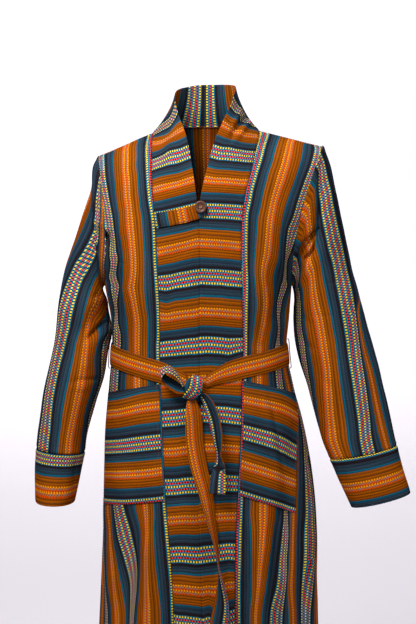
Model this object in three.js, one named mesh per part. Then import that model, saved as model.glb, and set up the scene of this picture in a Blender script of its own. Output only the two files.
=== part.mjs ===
// A cotton kimono-style robe, worn shape, hollow, with its tie belt knotted.
// Millimetres. +Z is up, +X is the wearer's left, -Y is the front.
// The origin lies on the wearer's axis, level with the points where shoulder and neck meet.
import * as THREE from 'three';
import { mergeVertices } from 'three/addons/utils/BufferGeometryUtils.js';

// ---- Driving dimensions -------------------------------------------------------------------

const CLOTH = 1.6;            // wall of every cut piece: striped cotton with its seam turnings
const SEAM = 0.3;             // clearance between two cut pieces at their seam
const RIDGE_GAP = 0.42;       // clearance at a seam that stands on a ridge, each side
const BELT_WIDTH = 37;
const BELT_WALL = 2.4;        // two layers of cotton, turned
const POCKET_RISE = CLOTH / 2 + 1.5;      // underside of a pocket above the middle of its panel
const BELT_RISE = CLOTH / 2 + 0.85 + BELT_WALL / 2;
const BUTTON_DIAMETER = 20.5;
const BUTTON_THICKNESS = 3.6;
const BUTTON_HOLE = 2.2;
const BUTTON_HOLE_PITCH = 5.2;
const HEM = 32;               // last row of every long panel
const UNDERARM = 12;          // row at which the armhole closes
const ROW_DEGREES = 15;       // each row down to the underarm takes this much of the armhole

const RIGHT = -1;             // the wearer's right lies at -X
const LEFT = 1;

// ---- Tables -------------------------------------------------------------------------------
// Every long piece counts its rows v from the shoulder (0) past the underarm (12) to the hem (32).

// Seam between front panel and front band: v, x, y, z.
const BAND_SEAM = {
  [RIGHT]: [
    [0, -96, 8, -8], [1, -97, -22, -22], [2, -97, -48, -37], [4, -96, -78, -74],
    [6, -93, -94, -121], [8, -89, -102, -171], [10, -86, -106, -222], [12, -84, -106, -269],
    [14, -82, -102, -324], [16, -82, -99, -375], [18, -81, -102, -435], [20, -78, -114, -510],
    [22, -74, -123, -595], [24, -68, -129, -679], [26, -61, -133, -774], [28, -58, -136, -880],
    [30, -58, -139, -1000], [32, -58, -142, -1128],
  ],
  [LEFT]: [
    [0, 89, 8, -4], [1, 88, -20, -17], [2, 83, -46, -34], [4, 74, -78, -72],
    [6, 62, -94, -118], [8, 57, -102, -169], [10, 57, -106, -222], [12, 58, -106, -269],
    [14, 59, -102, -324], [16, 60, -99, -375], [18, 58, -102, -435], [20, 57, -114, -510],
    [22, 52, -123, -595], [24, 48, -129, -679], [26, 46, -133, -774], [28, 46, -136, -880],
    [30, 46, -139, -1000], [32, 46, -142, -1128],
  ],
};

// Free edge of the bands: neckline from the centre back (-6) to the V, then the front edge: v, x, y, z.
const FREE_EDGE = {
  [RIGHT]: [
    [-6, -3, 64, 77], [-5, -20, 60, 76], [-4, -35, 51, 73], [-3, -47, 37, 70], [-2, -54, 20, 66],
    [-1, -57, 2, 60], [0, -57, -17, 50], [1, -54, -38, 35], [2, -48, -55, 17], [3, -41, -68, -1],
    [4, -35, -80, -20], [6, -26, -97, -68], [8, -18, -108, -127], [10, -12, -111, -181],
    [12, -9, -111, -243], [14, -8, -108, -311], [16, -8, -105, -366], [18, -8, -107, -431],
    [20, -8, -119, -509], [22, -8, -128, -594], [24, -8, -134, -679], [26, -7, -138, -773],
    [28, -5, -141, -879], [30, -5, -144, -1000], [32, -5, -147, -1127],
  ],
  [LEFT]: [
    [-6, -3, 64, 77], [-5, 14, 60, 77], [-4, 29, 51, 77], [-3, 40, 37, 76], [-2, 47, 20, 74],
    [-1, 48, 2, 67], [0, 44, -16, 55], [1, 39, -38, 39], [2, 30, -56, 22], [3, 22, -68, 4],
    [4, 13, -80, -16], [6, -2, -98, -68], [8, -14, -111, -125], [10, -14, -115, -181],
    [12, -13, -115, -243], [14, -14, -112, -314], [16, -14, -109, -369], [18, -14, -111, -432],
    [20, -14, -123, -509], [22, -14, -132, -593], [24, -14, -138, -678], [26, -11, -142, -772],
    [28, -8, -145, -878], [30, -8, -148, -1000], [32, -8, -151, -1127],
  ],
};

// How far the middle of a band stands out of the straight line between its edges: v, x, y, z,
// with x counted away from the wearer's middle. The stand at the neck is hollow, the front is round.
const BAND_BULGE = [
  [-6, 0, -3, 1], [-4, -3, -2, 1], [-2, -5, 0, 2], [0, -6, 3, 1], [2, -3, 1, 2],
  [4, 0, -3, 2], [8, 0, -3, 1], [12, 0, -3, 0], [18, 0, -2.4, 0], [24, 0, -3, 0], [32, 0, -3, 0],
];

// Centre back: v, x, y, z.
const CENTRE_BACK = [
  [0, -3, 68, 3], [1, -3, 78, -14], [2, -3, 86, -34], [4, -2, 96, -76], [6, -1, 102, -122],
  [8, -1, 105, -171], [10, -1, 103, -222], [12, -2, 99, -271], [14, -4, 92, -330],
  [16, -6, 86, -387], [18, -4, 95, -447], [20, 0, 114, -527], [22, 2, 126, -614],
  [24, 3, 132, -702], [26, 3, 136, -800], [28, 3, 139, -903], [30, 3, 142, -1012], [32, 3, 145, -1130],
];

// Side seam from the underarm to the hem: v, x, y, z.
const SIDE_SEAM = {
  [RIGHT]: [
    [12, -179, 2, -271], [14, -169, 2, -331], [16, -167, 0, -387], [18, -173, 2, -449],
    [20, -180, 4, -529], [22, -183, 4, -618], [24, -185, 4, -706], [26, -189, 4, -804],
    [28, -194, 4, -905], [30, -198, 4, -1013], [32, -202, 4, -1130],
  ],
  [LEFT]: [
    [12, 145, 2, -271], [14, 141, 2, -331], [16, 137, 0, -387], [18, 149, 2, -449],
    [20, 170, 4, -529], [22, 185, 4, -618], [24, 192, 4, -706], [26, 193, 4, -804],
    [28, 196, 4, -905], [30, 199, 4, -1013], [32, 203, 4, -1130],
  ],
};

// Heading of a body row in degrees away from straight sideways, where it leaves the band seam
// and where it ends at the armhole or side seam: v, start, end.
const HEADING = [
  [0, 0, 0], [1, 4, 12], [2, 7, 20], [4, 8, 30], [6, 8, 42], [8, 8, 55], [10, 8, 72],
  [12, 8, 90], [14, 8, 90], [32, 8, 90],
];

// Armhole: its top on the shoulder, its foot under the arm, how far it reaches forward and back,
// and how far the seam bends in towards the chest and the back.
const ARMHOLE = {
  [RIGHT]: { top: [-191, 8, -49], foot: [-179, 2, -271], front: 60, back: 64, bendFront: 7, bendBack: 4 },
  [LEFT]: { top: [201, 8, -33], foot: [145, 2, -271], front: 62, back: 64, bendFront: 14, bendBack: 6 },
};

// Sleeve rings: row, outer x, z, inner x, z, middle y, half depth to the front and to the back.
const SLEEVE_RINGS = {
  [RIGHT]: [
    [1, -200, -67, -184, -278, 9, 60, 63], [2, -203, -102, -185, -289, 10, 60, 62],
    [3, -213, -134, -185, -301, 11, 60, 61], [4, -227, -177, -184, -317, 12, 61, 60],
    [5, -240, -215, -180, -335, 10, 63, 60], [6, -251, -250, -176, -354, 6, 64, 60],
    [7, -260, -298, -174, -376, 1, 65, 60], [8, -266, -355, -177, -400, -4, 66, 60],
    [9, -277, -410, -184, -438, -9, 65, 58], [10, -287, -459, -196, -477, -14, 62, 55],
    [11, -295, -516, -211, -526, -20, 57, 51], [12, -299, -555, -216, -562, -26, 52, 47],
  ],
  [LEFT]: [
    [1, 213, -65, 149, -278, 9, 58, 61], [2, 223, -112, 151, -287, 10, 57, 59],
    [3, 232, -155, 152, -300, 11, 56, 57], [4, 242, -198, 151, -316, 12, 54, 55],
    [5, 251, -243, 150, -337, 12, 52, 53], [6, 263, -282, 152, -363, 11, 50, 51],
    [7, 276, -333, 159, -396, 9, 49, 50], [8, 288, -375, 169, -430, 6, 48, 49],
    [9, 300, -418, 180, -467, 2, 47, 48], [10, 316, -488, 193, -515, -4, 45, 46],
    [11, 324, -525, 201, -546, -12, 42, 43], [12, 330, -552, 214, -576, -20, 38, 39],
  ],
};

// Cuff rings carry on from the sleeve's last ring, in the same columns.
const CUFF_RINGS = {
  [RIGHT]: [
    [12, -299, -555, -216, -562, -26, 52, 47], [13, -301, -592, -223, -596, -30, 53, 48],
    [14, -300, -647, -234, -648, -35, 54, 48],
  ],
  [LEFT]: [
    [12, 330, -552, 214, -576, -20, 38, 39], [13, 339, -588, 231, -614, -25, 37, 38],
    [14, 353, -634, 252, -659, -31, 35, 36],
  ],
};

// Large folds seen from the front, as soft troughs (depth below 0) and ridges (above 0) along
// a straight line in the XZ plane: x0, z0, x1, z1, half width, depth.
const FRONT_FOLDS = [
  // wearer's left sleeve: the deep fall from the shoulder and its hook towards the underarm
  [190, -70, 190, -165, 15, -9], [190, -165, 168, -228, 15, -8], [214, -80, 222, -210, 20, 4],
  // wearer's right sleeve: tuck at the armhole, bend at the elbow
  [-188, -160, -180, -215, 15, -7], [-176, -305, -218, -362, 16, -7], [-190, -285, -246, -330, 18, 4],
  // chest and waist: cloth drawn in by the belt
  [136, -235, 118, -345, 16, -6], [92, -200, 84, -350, 20, 3], [-158, -230, -156, -350, 14, -5],
  [-120, -190, -116, -350, 22, 2.5],
  // skirt fronts: slanting soft falls below the pockets
  [-150, -560, -120, -760, 22, 6], [-118, -640, -96, -1128, 20, -8], [-160, -700, -150, -1128, 24, 7],
  [150, -500, 128, -760, 20, -6], [104, -600, 92, -1128, 24, 7], [128, -760, 132, -1128, 20, -7],
  [168, -640, 170, -1128, 22, 6],
];

// The same for the back.
const BACK_FOLDS = [
  [-120, -110, -150, -240, 24, -4], [126, -110, 118, -240, 24, -4],
  [-60, -240, -48, -372, 22, -5], [52, -250, 40, -372, 22, -5], [-4, -200, -8, -370, 26, 3],
  [-110, -270, -98, -372, 18, -4], [104, -270, 92, -372, 18, -4],
  [-90, -420, -112, -1128, 26, -9], [-44, -430, -54, -1128, 26, 8], [2, -420, -2, -1128, 26, -8],
  [48, -430, 56, -1128, 26, 9], [96, -420, 112, -1128, 26, -9], [-140, -520, -160, -1128, 24, 6],
  [144, -520, 162, -1128, 24, 6],
];

// Patch pockets on the front panels: row at the inner and outer end of mouth and foot, and the
// share of the panel's width that mouth and foot take.
const POCKETS = {
  [RIGHT]: { mouthIn: 17.95, mouthOut: 18.35, footIn: 22.75, footOut: 22.8, mouth: 0.84, foot: 0.8 },
  [LEFT]: { mouthIn: 17.75, mouthOut: 18.4, footIn: 22.5, footOut: 23.15, mouth: 0.84, foot: 0.52 },
};

// Middle line of the belt on each piece that it crosses: share of the width u, row v.
const BELT_LINE = {
  bandRight: [[0.62, 17.98], [0.3, 17.62], [0, 17.3]],
  frontRight: [[0, 17.3], [0.15, 17.05], [0.35, 16.75], [0.65, 16.4], [1, 16.18]],
  back: [[-1, 16.18], [-0.5, 16.1], [0, 16.06], [0.5, 16.1], [1, 16.2]],
  frontLeft: [[1, 16.2], [0.65, 16.32], [0.35, 16.6], [0.15, 16.85], [0, 17.05]],
  bandLeft: [[0, 17.05], [0.5, 17.45], [0.84, 17.86]],
};

// Extra height of the belt where it climbs to the knot.
const BELT_AT_KNOT = { bandRight: 3.1, bandLeft: 0 };

// Button tab across the right band: x, y, z along its middle, half width.
const TAB_LINE = [
  [-88, -104.2, -155.5, 13], [-72, -108.2, -152.5, 13], [-54, -111.4, -149, 13],
  [-36, -113.6, -145, 12.8], [-20, -115.4, -140.5, 12.4], [-8, -116.2, -137.5, 10],
  [-1, -116.6, -136, 5],
];
const TAB_WALL = 2.0;
const BUTTON_AT = [-12.5, -118.4, -131.5];

// Bow loop: closed teardrop that starts and ends in the knot: x, z.
const BOW_LINE = [
  [-42, -427], [-52, -411], [-64, -401], [-73, -401], [-79, -409], [-78, -420],
  [-71, -429], [-61, -436], [-51, -441], [-42, -444],
];
const BOW_WIDTH = 25;
const BOW_BACK = -120.5;      // y of the loop's rear edge
const BOW_TILT = 18;          // degrees that the loop's front edge hangs below its rear edge
const BOW_WALL = 2.0;

// Tails: x, y, z of the middle line, half width, turn of the strip in degrees, lengthwise crease.
const TAIL_A = [
  [-28, -126, -457, 7, 0, 2], [-26, -129, -473, 12, 4, 4], [-24, -131, -492, 14.5, 6, 4],
  [-22, -133, -530, 15, 8, 3.5], [-15, -139, -570, 14.5, 14, 3], [-4, -147, -610, 14.5, 34, 3],
  [4, -154, -650, 15, 56, 2.5], [13, -161, -694, 15.5, 76, 2], [19, -165, -738, 16, 92, 1.5],
  [22, -166, -764, 16, 108, 1], [23, -164, -800, 16.5, 138, 1], [18, -159, -838, 17, 152, 1.5],
  [12, -157, -880, 17, 158, 1.5], [8, -156, -916, 17, 160, 1.5],
];
const TAIL_B = [
  [-10.4, -130, -448, 6, -40, 2], [-2, -133, -462, 8, -44, 2.5], [6, -136, -484, 9.5, -50, 2.5],
  [12, -138, -512, 11, -58, 2], [15, -140, -536, 12, -66, 2], [17.5, -142, -560, 12, -74, 1.5],
  [19.5, -144, -576, 12, -58, 1.5], [18, -149, -594, 12, -34, 2], [16.5, -155, -612, 12.5, -22, 2.5],
  [15.5, -159, -628, 12.5, -16, 2.5],
];
const TAIL_WALL = 2.0;

// Knot: centre, half sizes, lean in degrees.
const KNOT = { at: [-25.5, -125, -436], half: [15, 10.6, 19.5], lean: 14, square: 2.6 };

// Belt carriers at the side seams: half width along Y, how far they stand off, half height.
const CARRIER = { halfWidth: 2.5, wall: 1.2, reach: 4.3, halfHeight: 26 };

// ---- Curves and surfaces ------------------------------------------------------------------

const vector = (p) => new THREE.Vector3(p[0], p[1], p[2]);
const radians = (degrees) => (degrees * Math.PI) / 180;
const { smoothstep } = THREE.MathUtils;

// Smooth value between a and b at share t of a step h, with slopes ma and mb.
function hermite(a, b, ma, mb, h, t) {
  const t2 = t * t;
  const t3 = t2 * t;
  return (2 * t3 - 3 * t2 + 1) * a + (t3 - 2 * t2 + t) * h * ma
    + (3 * t2 - 2 * t3) * b + (t3 - t2) * h * mb;
}

// Smooth interpolation of every column of a table whose first column is the position.
function along(table, position) {
  const last = table.length - 1;
  let i = 0;
  while (i < last - 1 && position > table[i + 1][0]) i += 1;
  const a = table[i];
  const b = table[i + 1];
  const h = b[0] - a[0];
  const t = (position - a[0]) / h;
  const columns = [];
  for (let k = 1; k < a.length; k += 1) {
    const straight = (b[k] - a[k]) / h;
    const before = table[i - 1];
    const after = table[i + 2];
    const ma = before ? (b[k] - before[k]) / (b[0] - before[0]) : straight;
    const mb = after ? (after[k] - a[k]) / (after[0] - a[0]) : straight;
    columns.push(hermite(a[k], b[k], ma, mb, h, t));
  }
  return columns;
}

// Smooth curve through points that a function gives at a list of positions.
function through(positions, pointAt, position) {
  const last = positions.length - 1;
  let i = 0;
  while (i < last - 1 && position > positions[i + 1]) i += 1;
  const near = [];
  for (let k = Math.max(i - 1, 0); k <= Math.min(i + 2, last); k += 1) {
    near.push([positions[k], ...pointAt(positions[k]).toArray()]);
  }
  return vector(along(near, position));
}

// Point on the armhole, from the shoulder (0 degrees) over the front (90) and underarm (180).
function armhole(side, degrees) {
  const hole = ARMHOLE[side];
  const c = Math.cos(radians(degrees));
  const s = Math.sin(radians(degrees));
  const middle = vector(hole.top).add(vector(hole.foot)).multiplyScalar(0.5);
  const half = vector(hole.top).sub(vector(hole.foot)).multiplyScalar(0.5);
  const point = middle.addScaledVector(half, c);
  point.y -= s * (s > 0 ? hole.front : hole.back);
  point.x -= side * s * s * (s > 0 ? hole.bendFront : hole.bendBack);
  return point;
}

// Outer end of a body row: on the armhole down to the underarm, then on the side seam.
function outerEnd(side, v, facing) {
  if (v <= UNDERARM) return armhole(side, facing * ROW_DEGREES * v);
  return vector(along(SIDE_SEAM[side], v));
}

// Neck seam: from the shoulder (0) round to the centre back (-6).
function neckSeam(side, v) {
  const shoulder = BAND_SEAM[side][0];
  const back = CENTRE_BACK[0];
  const a = radians(-v * ROW_DEGREES);
  return new THREE.Vector3(
    back[1] + (shoulder[1] - back[1]) * Math.cos(a),
    shoulder[2] + (back[2] - shoulder[2]) * Math.sin(a),
    shoulder[3] + (back[3] - shoulder[3]) * Math.sin(a),
  );
}

// Row of a panel as a cubic: leaves the inner end straight sideways and arrives with a heading.
function panelRow(inner, outer, side, facing, lead, turn, u) {
  const reach = 0.39 * inner.distanceTo(outer);
  const from = new THREE.Vector3(side * Math.cos(radians(lead)), facing * Math.sin(radians(lead)), 0);
  const into = new THREE.Vector3(side * Math.cos(radians(turn)), facing * Math.sin(radians(turn)), 0);
  const rise = (outer.z - inner.z) / 3;
  const h1 = inner.clone().addScaledVector(from, reach);
  const h2 = outer.clone().addScaledVector(into, -reach);
  h1.z = inner.z + rise;
  h2.z = outer.z - rise;
  return new THREE.CubicBezierCurve3(inner, h1, h2, outer).getPoint(u);
}

function frontBase(side) {
  return (u, v) => {
    const [start, end] = along(HEADING, v);
    const seam = vector(along(BAND_SEAM[side], v));
    return panelRow(seam, outerEnd(side, v, 1), side, 1, start, end, u);
  };
}

// The back runs from the wearer's right (u = -1) over the centre back to the left (u = 1).
// Its first row follows the neck seam and then the shoulder seam.
const NECK_SHARE = 0.5;
const NECK_FADE = 4;          // row at which the shape of the neck seam has faded out

function backBase() {
  const row = (side, share, v) => {
    const middle = vector(along(CENTRE_BACK, v));
    return panelRow(middle, outerEnd(side, v, -1), side, -1, 0, along(HEADING, v)[1], share);
  };
  const topRow = (side, share) => {
    if (share <= NECK_SHARE) return neckSeam(side, -6 + (6 * share) / NECK_SHARE);
    return neckSeam(side, 0).lerp(armhole(side, 0), (share - NECK_SHARE) / (1 - NECK_SHARE));
  };
  return (u, v) => {
    const side = u < 0 ? RIGHT : LEFT;
    const share = Math.abs(u);
    const fade = 1 - smoothstep(v, 0, NECK_FADE);
    const offset = topRow(side, share).sub(row(side, share, 0));
    return row(side, share, v).addScaledVector(offset, fade);
  };
}

// A band crosses from its seam (u = 0) to its free edge (u = 1).
function bandBase(side) {
  return (u, v) => {
    const seam = v < 0 ? neckSeam(side, v) : vector(along(BAND_SEAM[side], v));
    const edge = vector(along(FREE_EDGE[side], v));
    const bulge = vector(along(BAND_BULGE, v));
    bulge.x *= side;
    return seam.lerp(edge, u).addScaledVector(bulge, 4 * u * (1 - u));
  };
}

// A sleeve goes round in u (degrees, 0 on top, 90 in front) and down in v (ring number).
function ringPoint(ring, degrees) {
  const [, ox, oz, ix, iz, y, front, back] = ring;
  const c = Math.cos(radians(degrees));
  const s = Math.sin(radians(degrees));
  return new THREE.Vector3(
    (ox + ix) / 2 + ((ox - ix) / 2) * c,
    y - s * (s > 0 ? front : back),
    (oz + iz) / 2 + ((oz - iz) / 2) * c,
  );
}

function sleeveBase(side) {
  const rings = SLEEVE_RINGS[side];
  const rows = [0, ...rings.map((ring) => ring[0])];
  const row = (k, degrees) => {
    if (k > 0) return ringPoint(rings[k - 1], degrees);
    const point = armhole(side, degrees);
    const clear = 0.7 + 1.3 * ((1 - Math.cos(radians(degrees))) / 2) ** 2;
    point.x += side * clear;
    point.z -= 0.25 * clear;
    return point;
  };
  return (degrees, v) => through(rows, (k) => row(k, degrees), v);
}

function cuffBase(side) {
  const rings = CUFF_RINGS[side];
  const rows = rings.map((ring) => ring[0]);
  return (degrees, v) => through(rows, (k) => ringPoint(rings[k - rows[0]], degrees), v);
}

// Outward unit normal of a surface by small steps; sign turns it to the outside.
function normalOf(surface, u, v, stepU, stepV, sign) {
  const du = surface(u + stepU, v).sub(surface(u - stepU, v));
  const dv = surface(u, v + stepV).sub(surface(u, v - stepV));
  return du.cross(dv).normalize().multiplyScalar(sign);
}

// Height of all folds of a list at a point of the XZ plane.
function foldHeight(folds, x, z) {
  let height = 0;
  for (const [x0, z0, x1, z1, halfWidth, depth] of folds) {
    const dx = x1 - x0;
    const dz = z1 - z0;
    const length = Math.hypot(dx, dz);
    const share = ((x - x0) * dx + (z - z0) * dz) / (length * length);
    const aside = ((x - x0) * dz - (z - z0) * dx) / length;
    const end = z1 < -1100 ? 1 : smoothstep(1.15 - share, 0, 0.45);
    const start = smoothstep(share + 0.15, 0, 0.45);
    height += depth * start * end * Math.exp(-((aside / halfWidth) ** 2));
  }
  return height;
}

// A surface with the folds of its front-facing and back-facing parts laid in. hold(u, v) is 1
// where the cloth is free to fold and 0 along what holds it.
function folded(base, stepU, stepV, sign, hold) {
  return (u, v) => {
    const point = base(u, v);
    const normal = normalOf(base, u, v, stepU, stepV, sign);
    const front = smoothstep(-normal.y, 0.05, 0.6);
    const back = smoothstep(normal.y, 0.05, 0.6);
    const height = front * foldHeight(FRONT_FOLDS, point.x, point.z)
      + back * foldHeight(BACK_FOLDS, point.x, point.z);
    return point.addScaledVector(normal, height * hold(u, v));
  };
}

const beltHold = (v) => smoothstep(Math.abs(v - 17), 1.5, 3.2);
const panelHold = (u, v) => smoothstep(Math.abs(u), 0, 0.16) * smoothstep(1 - Math.abs(u), 0, 0.16)
  * smoothstep(v, 0, 2) * beltHold(v);
const backHold = (u, v) => smoothstep(1 - Math.abs(u), 0, 0.14) * smoothstep(v, 0, 2) * beltHold(v);
const sleeveHold = (u, v) => smoothstep(v, 0, 1.6) * smoothstep(12 - v, 0, 1.6);

const SURFACES = {
  frontRight: { at: folded(frontBase(RIGHT), 1e-3, 1e-2, 1, panelHold), stepU: 1e-3, stepV: 1e-2, sign: 1 },
  frontLeft: { at: folded(frontBase(LEFT), 1e-3, 1e-2, -1, panelHold), stepU: 1e-3, stepV: 1e-2, sign: -1 },
  back: { at: folded(backBase(), 1e-3, 1e-2, 1, backHold), stepU: 1e-3, stepV: 1e-2, sign: 1 },
  bandRight: { at: bandBase(RIGHT), stepU: 1e-3, stepV: 1e-2, sign: -1 },
  bandLeft: { at: bandBase(LEFT), stepU: 1e-3, stepV: 1e-2, sign: 1 },
  sleeveRight: { at: folded(sleeveBase(RIGHT), 0.1, 1e-2, -1, sleeveHold), stepU: 0.1, stepV: 1e-2, sign: -1 },
  sleeveLeft: { at: folded(sleeveBase(LEFT), 0.1, 1e-2, 1, sleeveHold), stepU: 0.1, stepV: 1e-2, sign: 1 },
  cuffRight: { at: cuffBase(RIGHT), stepU: 0.1, stepV: 1e-2, sign: -1 },
  cuffLeft: { at: cuffBase(LEFT), stepU: 0.1, stepV: 1e-2, sign: 1 },
};

// ---- Solids -------------------------------------------------------------------------------

// Even steps from a to b, both ends included.
function steps(a, b, count) {
  const list = [];
  for (let i = 0; i <= count; i += 1) list.push(a + ((b - a) * i) / count);
  return list;
}

// Closed solid between two layers of points, each a list of rows. A tube closes on itself
// along each row. The outer layer's faces look away from the inner layer.
function shell(outer, inner, tube, flip) {
  const rows = outer.length;
  const columns = outer[0].length;
  const positions = [];
  for (const layer of [outer, inner]) {
    for (const row of layer) for (const point of row) positions.push(point.x, point.y, point.z);
  }
  const index = [];
  const at = (layer, j, i) => layer * rows * columns + j * columns + (i % columns);
  const face = (a, b, c) => (flip ? index.push(a, c, b) : index.push(a, b, c));
  const quad = (a, b, c, d) => {
    face(a, b, c);
    face(a, c, d);
  };
  const spans = tube ? columns : columns - 1;
  for (let j = 0; j < rows - 1; j += 1) {
    for (let i = 0; i < spans; i += 1) {
      quad(at(0, j, i), at(0, j + 1, i), at(0, j + 1, i + 1), at(0, j, i + 1));
      quad(at(1, j, i), at(1, j, i + 1), at(1, j + 1, i + 1), at(1, j + 1, i));
    }
  }
  for (let i = 0; i < spans; i += 1) {
    quad(at(0, 0, i), at(0, 0, i + 1), at(1, 0, i + 1), at(1, 0, i));
    quad(at(0, rows - 1, i + 1), at(0, rows - 1, i), at(1, rows - 1, i), at(1, rows - 1, i + 1));
  }
  if (!tube) {
    for (let j = 0; j < rows - 1; j += 1) {
      quad(at(0, j + 1, 0), at(0, j, 0), at(1, j, 0), at(1, j + 1, 0));
      quad(at(0, j, columns - 1), at(0, j + 1, columns - 1), at(1, j + 1, columns - 1), at(1, j, columns - 1));
    }
  }
  const geometry = new THREE.BufferGeometry();
  geometry.setAttribute('position', new THREE.Float32BufferAttribute(positions, 3));
  geometry.setIndex(index);
  geometry.computeVertexNormals();
  return geometry;
}

// Signed volume, to tell a solid that faces out from one that faces in.
function volumeOf(geometry) {
  const position = geometry.getAttribute('position');
  const index = geometry.getIndex();
  const [a, b, c] = [new THREE.Vector3(), new THREE.Vector3(), new THREE.Vector3()];
  let volume = 0;
  for (let i = 0; i < index.count; i += 3) {
    a.fromBufferAttribute(position, index.getX(i));
    b.fromBufferAttribute(position, index.getX(i + 1));
    c.fromBufferAttribute(position, index.getX(i + 2));
    volume += a.dot(b.cross(c)) / 6;
  }
  return volume;
}

// The shell in whichever winding faces out.
function facingOut(outer, inner, tube = false) {
  const geometry = shell(outer, inner, tube, false);
  return volumeOf(geometry) > 0 ? geometry : shell(outer, inner, tube, true);
}

// Wall of cloth on a surface, between two heights above it. inset(v) gives the share of the
// width that stays free at each end of a row.
function clothOn(surface, us, vs, low, high, { tube = false, inset = null } = {}) {
  const { at, stepU, stepV, sign } = surface;
  const layers = [[], []];
  for (const v of vs) {
    const rows = [[], []];
    for (const share of us) {
      const u = inset ? inset(share, v) : share;
      const point = at(u, v);
      const normal = normalOf(at, u, v, stepU, stepV, sign);
      rows[0].push(point.clone().addScaledVector(normal, high));
      rows[1].push(point.clone().addScaledVector(normal, low));
    }
    layers[0].push(rows[0]);
    layers[1].push(rows[1]);
  }
  return facingOut(layers[0], layers[1], tube);
}

// Keeps both ends of a row clear of the seams by a length in millimetres.
function clearOfSeams(surface, from, to, gapFrom, gapTo) {
  return (share, v) => {
    const width = surface.at(from, v).distanceTo(surface.at(to, v));
    const start = from + ((to - from) * gapFrom) / width;
    const end = to - ((to - from) * gapTo) / width;
    return start + ((end - start) * (share - from)) / (to - from);
  };
}

// Flat strip along a list of frames { at, across, normal }, with a wall and a lengthwise crease.
function strip(frames, wall) {
  const outer = [];
  const inner = [];
  for (const { at, across, normal, halfWidth, crease } of frames) {
    const rows = [[], []];
    for (const share of [-1, 0, 1]) {
      const lift = (1 - Math.abs(share)) * crease;
      const point = at.clone().addScaledVector(across, share * halfWidth).addScaledVector(normal, lift);
      rows[0].push(point.clone().addScaledVector(normal, wall / 2));
      rows[1].push(point.clone().addScaledVector(normal, -wall / 2));
    }
    outer.push(rows[0]);
    inner.push(rows[1]);
  }
  return facingOut(outer, inner);
}

// ---- Pieces -------------------------------------------------------------------------------

const HALF = CLOTH / 2;
const PANEL_SHARES = steps(0, 1, 9);
const BACK_SHARES = [-1, -0.88, -0.76, -0.64, -0.5, -0.37, -0.24, -0.12, 0, 0.12, 0.24, 0.37, 0.5, 0.64, 0.76, 0.88, 1];
const FRONT_ROWS = [0.035, ...steps(1, 23, 22), 24.2, 25.5, 27, 28.6, 30.3, HEM];
const BACK_ROWS = [0.05, ...steps(1, 20, 19), 21.5, 23, 24.6, 26.3, 28, 30, HEM];

function front(side) {
  const surface = side === RIGHT ? SURFACES.frontRight : SURFACES.frontLeft;
  const inset = clearOfSeams(surface, 0, 1, SEAM, RIDGE_GAP);
  return clothOn(surface, PANEL_SHARES, FRONT_ROWS, -HALF, HALF, { inset });
}

function back() {
  const surface = SURFACES.back;
  const inset = (share, v) => {
    const width = surface.at(-1, v).distanceTo(surface.at(0, v));
    return share * (1 - RIDGE_GAP / width);
  };
  return clothOn(surface, BACK_SHARES, BACK_ROWS, -HALF, HALF, { inset });
}

function band(side) {
  const surface = side === RIGHT ? SURFACES.bandRight : SURFACES.bandLeft;
  const inset = clearOfSeams(surface, 0, 1, SEAM, 0);
  const rows = [-5.985, -5, -4, -3, -2, -1, 0, 1, 2, 3, 4, 5, 6, 7, 8, 9, 10, 11.5, 13, 14.5, 16, 17,
    18, 19.5, 21, 22.5, 24, 26, 28, 30, HEM];
  return clothOn(surface, steps(0, 1, 3), rows, -HALF, HALF, { inset });
}

const ROUND = steps(0, 345, 23);

function sleeve(side) {
  const surface = side === RIGHT ? SURFACES.sleeveRight : SURFACES.sleeveLeft;
  const rows = [0, 0.5, 1, 2, 3, 4, 5, 6, 7, 8, 9, 10, 11, 11.985];
  return clothOn(surface, ROUND, rows, -HALF, HALF, { tube: true });
}

function cuff(side) {
  const surface = side === RIGHT ? SURFACES.cuffRight : SURFACES.cuffLeft;
  return clothOn(surface, ROUND, [12.005, 13, 14], -HALF, HALF, { tube: true });
}

function pocket(side) {
  const surface = side === RIGHT ? SURFACES.frontRight : SURFACES.frontLeft;
  const cut = POCKETS[side];
  const mix = THREE.MathUtils.lerp;
  const patch = {
    ...surface,
    at: (s, t) => {
      const u = 0.012 + s * (mix(cut.mouth, cut.foot, t) - 0.012);
      return surface.at(u, mix(mix(cut.mouthIn, cut.mouthOut, s), mix(cut.footIn, cut.footOut, s), t));
    },
    stepU: 1e-3,
    stepV: 1e-3,
  };
  return clothOn(patch, steps(0, 1, 6), steps(0, 1, 7), POCKET_RISE, POCKET_RISE + CLOTH);
}

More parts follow.
